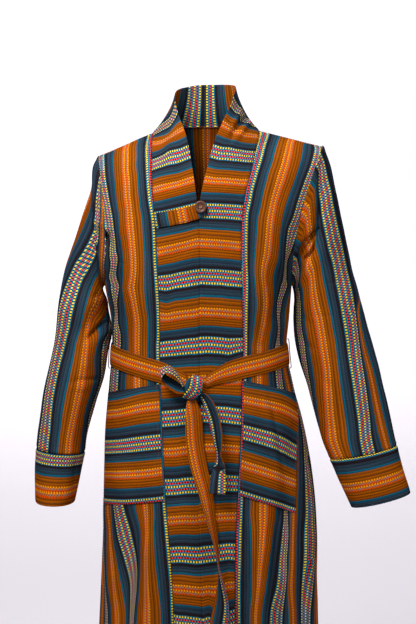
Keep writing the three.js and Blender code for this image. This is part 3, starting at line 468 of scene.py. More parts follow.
# Fronts: rows of v with the share of the width at which each line of the repeat lies.
FRONT_LINES = [27, 46, 97, 116.5, 143.5, 162.5, 213.5, 233, 260, 279, 330]
FRONT_CHART = {
    RIGHT: [
        [.3, .08, .24, .713, .894, 1.05], [1, .092, .257, .713, .892, 1.08],
        [2, .096, .248, .723, .894, 1.08], [3, .09, .255, .725, .898, 1.08],
        [4, .086, .24, .717, .886, 1.07], [5, .08, .232, .707, .86, 1.0],
        [6, .068, .214, .661, .82, .982], [7, .048, .186, .647, .79, .942],
        [8, .042, .176, .585, .749, .898], [9, .044, .162, .531, .671, .848],
        [10, .046, .152, .497, .687, .866], [11, .04, .15, .465, .621, .778],
        [12, .034, .144, .453, .539, .697], [13, .032, .142, .443, .629, .699],
        [14, .034, .134, .438, .679, .756], [15, .034, .144, .439, .589, .8],
        [15.8, .04, .148, .439, .59, .8], [17.3, .04, .14, .44, .591, .83],
        [23.2, .03, .107, .277, .387, .553, .635, .808, .89],
        [24, .028, .124, .25, .335, .499, .61, .75, .842],
        [25, .024, .126, .275, .308, .407, .51, .71, .79, .85],
        [26, .02, .114, .3, .325, .373, .441, .65, .71, .725, .737],
        [27, .018, .1, .318, .345, .375, .407, .579, .643, .695, .729, .872],
        [29, .018, .098, .33, .36, .385, .41, .55, .62, .68, .72, .86],
    ],
    LEFT: [
        [.3, .138, .3, .7, .858, 1.02], [1, .12, .277, .691, .874, 1.04],
        [2, .114, .269, .711, .892, 1.05], [3, .11, .267, .723, .902, 1.06],
        [4, .094, .248, .719, .89, 1.06], [5, .09, .246, .691, .874, 1.04],
        [6, .094, .246, .663, .856, 1.02], [7, .078, .224, .645, .794, .98],
        [8, .08, .214, .637, .79, .93], [9, .076, .192, .599, .78, .856],
        [10, .072, .162, .501, .778, .866], [11, .07, .148, .427, .713, .822],
        [12, .064, .146, .4, .6, .758], [13, .058, .155, .41, .525, .64],
        [14, .054, .14, .401, .54, .6], [15, .048, .122, .365, .519, .6],
        [15.8, .046, .1, .35, .473, .593], [17.3, .044, .1, .323, .447, .573, .615, .76, .824],
        [19, .044, .1, .32, .44, .55, .63, .78, .82], [20, .044, .1, .32, .43, .53, .58, .7, .79],
        [21, .044, .1, .32, .42, .5, .54, .64, .74], [22, .044, .1, .32, .415, .47, .5, .59, .68, .83],
        [23.2, .042, .1, .319, .411, .447, .477, .541, .641, .83],
        [24, .042, .114, .289, .389, .447, .465, .521, .613, .824],
        [25, .042, .122, .248, .359, .425, .447, .505, .593, .772],
        [26, .04, .124, .215, .327, .415, .431, .503, .571, .695, .77],
        [27, .04, .112, .186, .273, .389, .445, .511, .561, .647, .72],
        [29, .04, .11, .18, .26, .37, .44, .51, .56, .64, .71],
    ],
}
# Bands: for each share of the width, the row v of the first dotted band's middle, then the rows
# between which each brown zone lies.
BAND_SHARES = [.05, .2, .35, .5, .65, .8, .95]
BAND_CHART = {
    RIGHT: [
        [
            .3, .83, 2.39, 4.66, 6.21, 8.57, 10.44, 12.9, 14.76, 17.1, 18.65, 20.34, 21.46, 23.08, 24.2,
            25.62, 26.61,
        ],
        [
            .5, 1.34, 2.73, 4.89, 6.46, 8.75, 10.58, 13.05, 14.76, 17.1, 18.63, 20.32, 21.46, 23.05,
            24.17, 25.61, 26.63,
        ],
        [
            .75, 1.75, 2.97, 5.14, 6.66, 8.91, 10.73, 13.02, 14.77, 17.1, 18.61, 20.3, 21.44, 23.03,
            24.15, 25.61, 26.63,
        ],
        [
            1.05, 2.01, 3.09, 5.4, 6.83, 9.07, 10.81, 13.06, 14.76, 17.1, 18.58, 20.26, 21.41, 23.0,
            24.14, 25.63, 26.65,
        ],
        [
            1.25, 2.13, 3.31, 5.64, 6.99, 9.22, 10.91, 13.1, 14.76, 17.1, 18.56, 20.24, 21.39, 23.0,
            24.15, 25.65, 26.67,
        ],
        [
            1.2, 2.13, 3.52, 5.79, 7.12, 9.34, 11.0, 13.13, 14.78, 17.12, 18.55, 20.22, 21.38, 23.0,
            24.15, 25.67, 26.69,
        ],
        [
            .95, 2.24, 3.65, 5.92, 7.26, 9.47, 11.13, 13.15, 14.74, 17.12, 18.52, 20.2, 21.36, 22.94,
            24.13, 25.67, 26.72,
        ],
    ],
    LEFT: [
        [
            -.45, .36, 1.76, 4.2, 5.85, 8.27, 10.08, 12.76, 14.54, 16.77, 18.53, 20.25, 21.35, 22.91,
            24.05, 25.53, 26.46,
        ],
        [
            -.1, .81, 2.23, 4.59, 6.14, 8.48, 10.27, 12.82, 14.54, 16.9, 18.5, 20.22, 21.32, 22.9,
            24.04, 25.51, 26.5,
        ],
        [
            .2, 1.21, 2.65, 4.9, 6.41, 8.68, 10.46, 12.88, 14.54, 17.04, 18.47, 20.19, 21.3, 22.9,
            24.05, 25.55, 26.6,
        ],
        [
            .4, 1.4, 3.01, 5.18, 6.65, 8.89, 10.64, 12.91, 14.54, 17.0, 18.46, 20.16, 21.32, 22.92,
            24.07, 25.58, 26.68,
        ],
        [
            .5, 1.53, 3.26, 5.45, 6.88, 9.1, 10.8, 12.98, 14.55, 17.0, 18.45, 20.15, 21.29, 22.92,
            24.09, 25.61, 26.74,
        ],
        [
            .6, 1.74, 3.56, 5.7, 7.11, 9.3, 10.97, 13.04, 14.57, 17.0, 18.46, 20.15, 21.3, 22.93, 24.1,
            25.63, 26.66,
        ],
        [
            .6, 1.83, 3.72, 5.86, 7.3, 9.5, 11.12, 13.09, 14.6, 17.04, 18.4, 20.15, 21.3, 22.94, 24.13,
            25.66, 26.71,
        ],
    ],
}
# Sleeves: rows of v with the degrees round the sleeve at which each line of the repeat lies.
SLEEVE_LINES = {
    RIGHT: [-19.5, 0, 27, 46, 72, 97, 116.5, 143.5],
    LEFT: [-89.5, -70.5, -19.5, 0, 27, 46, 72, 97, 116.5, 143.5],
}
SLEEVE_CHART = {
    RIGHT: [
        [0, -30, 46, 54, 60, 76, 92], [.5, -14, 58, 88, 98, 125, 150], [1, -5, 79, 104, 128, 152, 178],
        [1.5, 18, 77, 103, 127, 151, 179], [2.2, 44.8, 73.5, 100, 124, 149, 180],
        [3, 42, 71.4, 95.7, 117, 143, 177], [4, 33, 61.7, 87.3, 108, 131, 165],
        [5, 20, 47.2, 77.1, 99.2, 120, 152], [6, 12, 39.2, 72.7, 94.3, 110, 138],
        [7, 4, 28.6, 68.8, 90, 104, 129], [8, -2, 20, 59.9, 82.4, 104, 125],
        [9, 0, 22, 56.4, 82.4, 108, 135], [10, 4, 25, 58, 84, 111, 135],
        [11, 6, 28, 64.3, 88.6, 113, 146],
    ],
    LEFT: [
        [.3, -60, -40, -14, 26, 45, 62, 84, 108, 124, 146],
        [1, -60, -40, -10, 34.9, 62, 78, 102, 126, 136, 152],
        [2, -60, -40, -8, 40.9, 69.8, 90.6, 114, 138, 147, 161],
        [3, -60, -40, -6, 40.9, 70.2, 89, 110, 133, 143, 158],
        [4, -60, -40, -4, 35, 66.3, 88.6, 109.7, 130.8, 141, 156],
        [5, -60, -36, -2, 32.4, 65.2, 85.6, 107.7, 131, 141, 156],
        [5.9, -50, -28, 2, 36, 67, 85.8, 106, 131, 141, 156],
        [6.6, -12, 29, 36.5, 40.5, 69, 87, 107, 132, 142, 157],
        [7, -10, 34.2, 40.6, 44.4, 70.5, 87.9, 108.4, 132.6, 144, 160],
        [8, -10, 37.8, 48.5, 52.6, 75.9, 93.6, 113.3, 138, 152, 168],
        [9, -10, 37, 51.7, 58.2, 80.6, 99.1, 122.2, 148.3, 162, 182],
        [10, -10, 37, 56.1, 65.1, 85.6, 104.6, 132.6, 164, 184, 208],
        [11, -10, 36.6, 56.7, 70, 90, 108.6, 138, 190, 206, 230],
        [11.7, -10, 36.6, 56.7, 71.8, 92.7, 111, 138, 192, 208, 232],
    ],
}
CUFF_CHART = {
    RIGHT: ([12, 12.6, 13.02, 13.55, 14], [-2, 27, 44, 72, 90]),
    LEFT: ([12, 12.1, 12.62, 13.25, 13.78, 14], [24, 27, 44, 72, 99, 108]),
}
# Pockets: shares of the width, and for each the panel rows of the lines of the repeat.
POCKET_LINES = [72, 130, 188.5, 235.9, 243.5]
POCKET_CHART = {
    RIGHT: (
        [0, .15, .6, 1],
        [
            [18.97, 20.48, 21.64, 22.69, 22.85], [19.0, 20.5, 21.67, 22.71, 22.87],
            [19.22, 20.6, 21.7, 22.73, 22.89], [19.32, 20.66, 21.74, 22.74, 22.9],
        ],
    ),
    LEFT: (
        [0, .4, .55, 1],
        [
            [18.7, 20.08, 21.38, 22.44, 22.6], [18.9, 20.32, 21.63, 22.7, 22.86],
            [19.0, 20.44, 21.74, 22.8, 22.96], [19.45, 20.85, 22.06, 23.09, 23.25],
        ],
    ),
}


def column_chart(rows, lines, us, vs, reach):
    """Cloth distance across a piece whose stripes run down it. reach is each row's millimetres per unit of u.

    A line is interpolated over the rows that give it, and carried on from its neighbour elsewhere.
    """
    known = [[(r[0], r[k + 1]) for r in rows if len(r) > k + 1] for k in range(len(lines))]
    out = np.empty((len(vs), len(us)))
    for j, (v, per) in enumerate(zip(vs, reach)):
        x, y = [], []
        for line, have in zip(lines, known):
            place = None
            if len(have) > 1 and (v >= have[0][0] - 1.01 or have[0][0] <= rows[0][0] + 1):
                at = min(max(v, have[0][0]), have[-1][0])
                place = float(monotone([h[0] for h in have], [h[1] for h in have], [at])[0])
            if x:
                ahead = x[-1] + (line - y[-1]) / per
                place = ahead if place is None else max(place, x[-1] + 0.12 * (line - y[-1]) / per)
            if place is not None:
                x.append(place)
                y.append(line)
        x = [x[0] - 300 / per] + x + [x[-1] + 200 / per]
        y = [y[0] - 300] + y + [y[-1] + 200]
        out[j] = monotone(x, y, us)
    return out


# ---- Mesh builders --------------------------------------------------------------------------
FAR = 1e9
UV_UNIT = 100    # millimetres of cloth in one unit of the Stripe map


def project(p):
    """Picture position, in pixels, of points in millimetres."""
    d = p - np.array(EYE)
    ahead = np.array([0, math.cos(PITCH), -math.sin(PITCH)])
    up = np.array([0, math.sin(PITCH), math.cos(PITCH)])
    depth = d @ ahead
    return np.stack([WIDE / 2 + FOCAL * d[..., 0] / depth, HIGH / 2 - FOCAL * (d @ up) / depth], axis=-1)


def stretches(xy, line):
    """For each straight stretch of a drawn line: direction, gap, distance and its two values."""
    for a, b in zip(np.array(line[:-1], float), np.array(line[1:], float)):
        d = b[:2] - a[:2]
        t = np.clip(((xy - a[:2]) @ d) / math.hypot(*d) ** 2, 0, 1)
        gap = xy - (a[:2] + t[..., None] * d)
        yield d, gap, np.linalg.norm(gap, axis=-1), a[2] + (b[2] - a[2]) * t, a[3] + (b[3] - a[3]) * t


def creases(xy, lines):
    """Sum of soft troughs and ridges along drawn lines of (x, y, depth, half width)."""
    total = np.zeros(xy.shape[:-1])
    for line in lines:
        best = np.zeros(xy.shape[:-1])
        for _, _, away, deep, half in stretches(xy, line):
            h = deep * np.exp(-((away / half) ** 2))
            best = np.where(np.abs(h) > np.abs(best), h, best)
        total += best
    return total


def cliffs(xy, lines):
    """Overhanging folds: along lines of (x, y, rise, drop) cloth stands up on the left, sinks on the right."""
    total = np.zeros(xy.shape[:-1])
    for line in lines:
        nearest, best = np.full(xy.shape[:-1], FAR), np.zeros(xy.shape[:-1])
        for d, gap, away, rise, drop in stretches(xy, line):
            side = (d[0] * gap[..., 1] - d[1] * gap[..., 0]) / math.hypot(*d)
            up = smooth(-side, -0.7, 0.7)
            h = up * rise * np.exp(-((away / 6) ** 1.5)) - (1 - up) * drop * np.exp(-((away / 5) ** 1.3))
            best = np.where(away < nearest, h, best)
            nearest = np.minimum(nearest, away)
        total += best
    return total


_dice = np.random.default_rng(7)
_WAVES = [(unit(_dice.normal(size=3)) * 2 * math.pi / _dice.uniform(38, 120),
           _dice.uniform(0, 6.28), _dice.uniform(.5, 1)) for _ in range(14)]


def rumple(p, size):
    """Slight unevenness of worn cloth, the same every run."""
    return size / 3 * sum(a * np.sin(p @ k + phase) for k, phase, a in _WAVES)


def grid_normals(p, sign, tube=False):
    if tube:
        across = np.roll(p, -1, axis=1) - np.roll(p, 1, axis=1)
    else:
        across = np.gradient(p, axis=1)
    return sign * unit(np.cross(across, np.gradient(p, axis=0)))


def spread(a, b, count, edge):
    """count steps from a to b, with closer ones by both ends; edge is a share of the length."""
    inner = np.linspace(edge * 3, 1 - edge * 3, count)
    t = np.concatenate([[0, edge * .45, edge * 1.3], inner, [1 - edge * 1.3, 1 - edge * .45, 1]])
    return a + (b - a) * t


def mesh_object(name, points, faces, uvs, material):
    """faces is an array of quads (a triangle repeats its last corner); uvs is one pair per face corner."""
    mesh = bpy.data.meshes.new(name)
    faces = np.asarray(faces, dtype=np.int64)
    mesh.vertices.add(len(points))
    mesh.vertices.foreach_set("co", (np.asarray(points, dtype=np.float64) * MM).ravel())
    mesh.loops.add(faces.size)
    mesh.loops.foreach_set("vertex_index", faces.ravel())
    mesh.polygons.add(len(faces))
    mesh.polygons.foreach_set("loop_start", np.arange(0, faces.size, faces.shape[1]))
    mesh.update(calc_edges=True)
    if uvs is not None:
        layer = mesh.uv_layers.new(name="Stripe")
        layer.data.foreach_set("uv", (np.asarray(uvs, dtype=np.float64) / UV_UNIT).ravel())
    mesh.validate()
    mesh.polygons.foreach_set("use_smooth", [True] * len(mesh.polygons))
    mesh.materials.append(material)
    o = bpy.data.objects.new(name, mesh)
    bpy.context.scene.collection.objects.link(o)
    return o


def shell_data(outer, inner, uv_out, uv_in, tube=False):
    """Closed sheet between two grids of points. A tube joins its last column to its first, and its
    charts have one column more than its points."""
    rows, cols = outer.shape[:2]
    spans = cols if tube else cols - 1
    wide = uv_out.shape[1]
    j, i = [a.ravel() for a in np.meshgrid(np.arange(rows - 1), np.arange(spans), indexing="ij")]

    def p(layer, j, i):
        return layer * rows * cols + j * cols + i % cols

    def t(layer, j, i):
        return layer * rows * wide + j * wide + i

    quads, charts = [], []

    def add(corners):
        quads.append(np.stack([p(*c) for c in corners], axis=-1))
        charts.append(np.stack([t(*c) for c in corners], axis=-1))

    add([(0, j, i), (0, j + 1, i), (0, j + 1, i + 1), (0, j, i + 1)])
    add([(1, j, i), (1, j, i + 1), (1, j + 1, i + 1), (1, j + 1, i)])
    e, o, last = np.arange(spans), np.zeros(spans, int), np.full(spans, rows - 1)
    add([(0, o, e), (0, o, e + 1), (1, o, e + 1), (1, o, e)])
    add([(0, last, e + 1), (0, last, e), (1, last, e), (1, last, e + 1)])
    if not tube:
        e, o, last = np.arange(rows - 1), np.zeros(rows - 1, int), np.full(rows - 1, cols - 1)
        add([(0, e + 1, o), (0, e, o), (1, e, o), (1, e + 1, o)])
        add([(0, e, last), (0, e + 1, last), (1, e + 1, last), (1, e, last)])
    quads, charts = np.concatenate(quads), np.concatenate(charts)
    points = np.concatenate([outer.reshape(-1, 3), inner.reshape(-1, 3)])
    uv = np.concatenate([uv_out.reshape(-1, 2), uv_in.reshape(-1, 2)])
    return points, quads, uv[charts.ravel()]


def outward(points, quads, uvs):
    a, b, c, d = [points[quads[:, k]] for k in range(4)]
    volume = np.sum(np.cross(b - a, c - a) * a) + np.sum(np.cross(c - a, d - a) * a)
    if volume < 0:
        quads, uvs = quads[:, ::-1], uvs.reshape(-1, 4, 2)[:, ::-1].reshape(-1, 2)
    return points, quads, uvs


def cloth_shell(name, outer, inner, uv_out, uv_in, material, tube=False):
    return mesh_object(name, *outward(*shell_data(outer, inner, uv_out, uv_in, tube)), material)


def run_length(p, axis):
    """Distance along rows (axis 1) or columns (axis 0) of a grid of points."""
    step = np.linalg.norm(np.diff(p, axis=axis), axis=-1)
    zero = np.zeros_like(np.take(step, [0], axis=axis))
    return np.concatenate([zero, np.cumsum(step, axis=axis)], axis=axis)


def dress(o, replaces=None):
    """What a made piece rides on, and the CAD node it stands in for."""
    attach(o, "root")
    if replaces:
        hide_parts(replaces)
    return o


THICK, POCKET_THICK, CUFF_THICK = 1.1, 1.3, 1.8    # of the cloth, in millimetres


def piece_on(name, at, us, vs, sign, chart, *, rise=0.0, thick=THICK, seams="", rough=0.4, tube=False,
             lift=None, slot="striped_cotton"):
    """A cut piece of cloth on its surface: base form, drawn creases, seam grooves, thickness and chart.

    seams names the edges that are sewn: a and b at the sides, c and d at the ends. lift(U, V, p) adds a
    height of its own. Returns the object, the points of the middle sheet and their normals.
    """
    U, V = np.meshgrid(us, vs)
    p = at(U.ravel(), V.ravel()).reshape(U.shape + (3,))
    n = grid_normals(p, sign, tube)
    across, down = run_length(p, 1), run_length(p, 0)
    edges = {"c": down, "d": down[-1:] - down}
    if not tube:
        edges = {"a": across, "b": across[:, -1:] - across, **edges}
    h = np.full(U.shape, float(rise))
    near = np.full(U.shape, FAR)
    for key, away in edges.items():
        near = np.minimum(near, away)
        if key in seams:
            h += -0.9 * np.exp(-((away / 1.5) ** 2)) + 0.45 * np.exp(-(((away - 5) / 2.8) ** 2))
    still = smooth(near, 0, 9)
    facing = smooth(-n[..., 1], 0.0, 0.45)
    if name in MARKS:
        h += facing * still * creases(project(p), MARKS[name])
    if name in SHARP:
        h += facing * smooth(near, 0, 5) * cliffs(project(p), SHARP[name])
    if name in BACK_MARKS:
        h += smooth(n[..., 1], 0.0, 0.45) * still * creases(p[..., [0, 2]], BACK_MARKS[name])
    h += still * rumple(p, rough)
    if lift is not None:
        h += lift(U, V, p)
    p = p + n * h[..., None]
    n = grid_normals(p, sign, tube)
    half = thick / 2 * (0.25 + 0.75 * smooth(near, 0, 1.0))[..., None]
    uv = chart(U, V, p)
    o = cloth_shell(name + "_cloth", p + n * half, p - n * half, uv, uv, COTTON, tube)
    return dress(o, name), p, n


# ---- Materials ------------------------------------------------------------------------------
def colour(r, g, b):
    """Colour given as sRGB bytes, as Blender's linear values."""
    return tuple(c / 255 / 12.92 if c / 255 <= 0.04045 else ((c / 255 + 0.055) / 1.055) ** 2.4
                 for c in (r, g, b)) + (1,)


class Nodes:
    """Short calls for building a node tree."""

    def __init__(self, name):
        self.material = bpy.data.materials.new(name)
        self.material.use_nodes = True
        self.tree = self.material.node_tree
        self.shader = self.tree.nodes["Principled BSDF"]

    def put(self, kind, values=(), **settings):
        n = self.tree.nodes.new("ShaderNode" + kind)
        for key, value in settings.items():
            setattr(n, key, value)
        for key, value in dict(values).items():
            if hasattr(value, "is_output"):
                self.tree.links.new(value, n.inputs[key])
            else:
                n.inputs[key].default_value = value
        return n

    def math(self, operation, *values, clamp=False):
        return self.put("Math", enumerate(values), operation=operation, use_clamp=clamp).outputs[0]

    def vector(self, *values):
        return self.put("CombineXYZ", enumerate(values)).outputs[0]

    def ramp(self, factor, stops, interpolation="CONSTANT"):
        n = self.put("ValToRGB", {0: factor})
        n.color_ramp.interpolation = interpolation
        n.color_ramp.elements[1].position = 1
        for k, (place, value) in enumerate(stops):
            e = n.color_ramp.elements[0] if k == 0 else n.color_ramp.elements.new(min(place, 0.9999))
            e.position = min(max(place, 0), 0.9999)
            e.color = value if isinstance(value, tuple) else (value,) * 3 + (1,)
        last = n.color_ramp.elements[len(n.color_ramp.elements) - 1]
        last.color = stops[-1][1] if isinstance(stops[-1][1], tuple) else (stops[-1][1],) * 3 + (1,)
        return n.outputs[0]

    def mix(self, factor, a, b, blend="MIX"):
        n = self.put("Mix", data_type="RGBA", blend_type=blend)
        for key, value in ((0, factor), (6, a), (7, b)):
            if hasattr(value, "is_output"):
                self.tree.links.new(value, n.inputs[key])
            else:
                n.inputs[key].default_value = value
        return n.outputs[2]

    def noise(self, vector, scale=1.0, detail=2.0, roughness=0.5):
        values = {"Vector": vector, "Scale": scale, "Detail": detail, "Roughness": roughness}
        return self.put("TexNoise", values, noise_dimensions="3D").outputs[0]

    def remap(self, value, a, b, c, d, smooth_step=False):
        return self.put("MapRange", {0: value, 1: a, 2: b, 3: c, 4: d},
                        interpolation_type="SMOOTHSTEP" if smooth_step else "LINEAR").outputs[0]

    def finish(self, base, height=None, distance=0.0003, strength=0.5, **sockets):
        self.tree.links.new(base, self.shader.inputs["Base Color"])
        if height is not None:
            bump = self.put("Bump", {"Strength": strength, "Distance": distance, "Height": height})
            self.tree.links.new(bump.outputs[0], self.shader.inputs["Normal"])
        for key, value in sockets.items():
            self.shader.inputs[key.replace("_", " ")].default_value = value
        return self.material


# Ground of the repeat outside the dotted rows: start in millimetres, colour.
GROUND = [
    (0, (8, 112, 142)), (27, (36, 29, 34)), (32, (41, 54, 66)), (34.6, (31, 46, 58)),
    (36.4, (45, 62, 75)), (39.4, (37, 54, 67)), (42.5, (14, 94, 118)), (44.4, (20, 72, 94)),
    (46, (150, 75, 8)), (48.6, (112, 59, 12)), (50.8, (158, 80, 8)), (53.4, (124, 62, 10)),
    (55.6, (96, 50, 15)), (57.4, (154, 79, 8)), (60.4, (130, 64, 9)), (63.5, (166, 81, 4)),
    (80.5, (118, 58, 9)), (82.4, (152, 77, 6)), (85.4, (102, 51, 11)), (87.6, (156, 78, 5)),
    (90.4, (114, 56, 9)), (92.6, (146, 71, 7)), (95, (104, 51, 9)), (97, (14, 86, 110)),
    (99.2, (20, 69, 92)), (101, (39, 55, 69)), (104, (31, 45, 57)), (106, (45, 61, 75)),
    (108.6, (37, 50, 62)), (111, (35, 29, 34)),
]
TEAL, YELLOW, RED = (0, 106, 136), (255, 214, 18), (250, 46, 14)
YELLOW_GAP, RED_GAP = (16, 56, 66), (44, 30, 48)
DOT_ZONE, CENTRE_FROM, CENTRE_ZONE = 27, 63.5, 17    # where dotted rows lie in the repeat
DOT_PERIOD = 4.75
# Dotted rows: start, dot colour, colour between the dots, and the shift of the dots in shares of a period.
DOTTED = [(0, TEAL, TEAL, 0)]
for _k, _at in enumerate((2.9, 8.2, 13.5, 18.8, 24.1)):
    _half, _row = [(1.5, (YELLOW, YELLOW_GAP, 0)), (1.35, (RED, RED_GAP, .5))][_k % 2]
    DOTTED += [(_at - _half, *_row), (_at + _half, TEAL, TEAL, 0)]
AMBER, MIST, EMBER = (244, 156, 12), (150, 118, 104), (216, 74, 12)
_rows = [(AMBER, (166, 80, 6), 0), (MIST, (160, 72, 10), .5), (EMBER, (160, 64, 6), 0)] * 2
CENTRE = [(_k * CENTRE_ZONE / 6, *_row) for _k, _row in enumerate(_rows)]


def striped_cloth(name):
    """Yarn-dyed cotton: the repeat in the Stripe map, with streaky yarns, dotted rows and a plain weave."""
    k = Nodes(name)
    place = k.put("SeparateXYZ", {0: k.put("UVMap", uv_map="Stripe").outputs[0]})
    x, t = [k.math("MULTIPLY", place.outputs[axis], UV_UNIT) for axis in (0, 1)]

    def grain(across, down, seed, *kind):
        return k.noise(k.vector(k.math("MULTIPLY", x, across), k.math("MULTIPLY", t, down), seed), *kind)

    def rows(factor, table, width, item):
        return k.ramp(factor, [(r[0] / width, colour(*r[item]) if item < 3 else r[item]) for r in table])

    x = k.math("ADD", x, k.remap(grain(0.02, 0.03, 0), 0, 1, -0.45, 0.45))
    f = k.math("MULTIPLY", k.math("FRACT", k.math("DIVIDE", x, REPEAT)), REPEAT)
    ground = rows(k.math("DIVIDE", f, REPEAT), GROUND, REPEAT, 1)
    dots_in = k.math("DIVIDE", f, DOT_ZONE)
    centre_in = k.math("DIVIDE", k.math("SUBTRACT", f, CENTRE_FROM), CENTRE_ZONE)
    in_dots = k.math("LESS_THAN", f, DOT_ZONE)
    in_centre = k.math("MULTIPLY", k.math("GREATER_THAN", f, CENTRE_FROM),
                       k.math("LESS_THAN", f, CENTRE_FROM + CENTRE_ZONE))
    (dotted, between, late), (c_dotted, c_between, c_late) = [
        [rows(factor, table, width, item) for item in (1, 2, 3)]
        for factor, table, width in ((dots_in, DOTTED, DOT_ZONE), (centre_in, CENTRE, CENTRE_ZONE))]
    gap = k.mix(in_centre, k.mix(in_dots, ground, between), c_between)
    dot = k.mix(in_centre, dotted, c_dotted)
    shift = k.math("ADD", k.math("MULTIPLY", in_dots, late), k.math("MULTIPLY", in_centre, c_late))
    beat = k.math("FRACT", k.math("ADD", k.math("DIVIDE", t, DOT_PERIOD), shift))
    lobe = k.math("SUBTRACT", 1, k.math("ABSOLUTE", k.math("SUBTRACT", k.math("MULTIPLY", beat, 2), 1)))
    is_dot = k.math("MULTIPLY", k.remap(lobe, 0.4, 0.66, 0, 1, True),
                    k.math("ADD", in_dots, in_centre, clamp=True))
    base = k.mix(is_dot, gap, dot)
    streak = grain(0.75, 0.01, 3, 1.0, 3.0, 0.6)
    slub = grain(0.95, 0.42, 9, 1.0, 2.0, 0.6)
    patch = grain(0.03, 0.012, 5)
    shade = k.math("MULTIPLY", k.remap(streak, 0.25, 0.75, 0.66, 1.34), k.remap(slub, 0.25, 0.75, 0.7, 1.3))
    shade = k.math("MULTIPLY", shade, k.remap(patch, 0.3, 0.7, 0.89, 1.03))
    shaded = k.mix(1.0, base, k.put("CombineColor", {0: shade, 1: shade, 2: shade}).outputs[0], "MULTIPLY")
    warp = k.math("SINE", k.math("MULTIPLY", x, 2 * math.pi / 0.85))
    weft = k.math("SINE", k.math("MULTIPLY", t, 2 * math.pi / 0.95))
    weave = k.math("MULTIPLY", k.math("MULTIPLY", warp, weft), 0.25)
    height = k.math("ADD", weave, k.math("MULTIPLY", slub, 0.9))
    height = k.math("ADD", height, k.math("MULTIPLY", is_dot, 0.5))
    return k.finish(shaded, height, 0.00025, 0.45, Roughness=0.88, Sheen_Weight=0.0, Specular_IOR_Level=0.0)


def yarn(name, rgb, dark):
    """Sewing or cord thread: twisted strands."""
    k = Nodes(name)
    place = k.put("TexCoord").outputs["Object"]
    grain = k.noise(place, 1500.0, 2.0)
    twist = k.put("TexWave", {"Vector": place, "Scale": 900.0, "Distortion": 2.0},
                  bands_direction="DIAGONAL").outputs["Fac"]
    base = k.mix(k.math("MULTIPLY", k.math("ADD", twist, grain), 0.5), colour(*dark), colour(*rgb))
    return k.finish(base, twist, 0.0002, 0.5, Roughness=0.7, Sheen_Weight=0.15)


def coconut(name):
    """Dark coconut shell: short darker fibres along the disc, lightly polished."""
    k = Nodes(name)
    place = k.put("TexCoord").outputs["Object"]
    lengthwise = k.put("Mapping", {"Vector": place, "Scale": (900.0, 900.0, 130.0),
                                   "Rotation": (0.2, 0.5, 0.3)})
    fibre = k.noise(lengthwise.outputs[0], 1.0, 4.0, 0.65)
    cloud = k.noise(place, 160.0, 2.0)
    base = k.ramp(fibre, [(0.0, colour(46, 24, 14)), (0.42, colour(82, 47, 32)),
                          (0.62, colour(112, 68, 48)), (1.0, colour(150, 102, 74))], "LINEAR")
    base = k.mix(k.remap(cloud, 0.35, 0.7, 0, 0.5), base, colour(70, 40, 30))
    rough = k.remap(fibre, 0.3, 0.7, 0.34, 0.5)
    k.tree.links.new(rough, k.shader.inputs["Roughness"])
    return k.finish(base, fibre, 0.00015, 0.4, Specular_IOR_Level=0.45)


COTTON = striped_cloth("striped_cotton")
CREAM = yarn("cream_thread", (226, 206, 160), (170, 146, 98))
NAVY = yarn("dark_thread", (46, 58, 78), (22, 26, 38))
RUSSET = yarn("brown_thread", (120, 66, 24), (66, 36, 18))
WOOD = coconut("coconut")


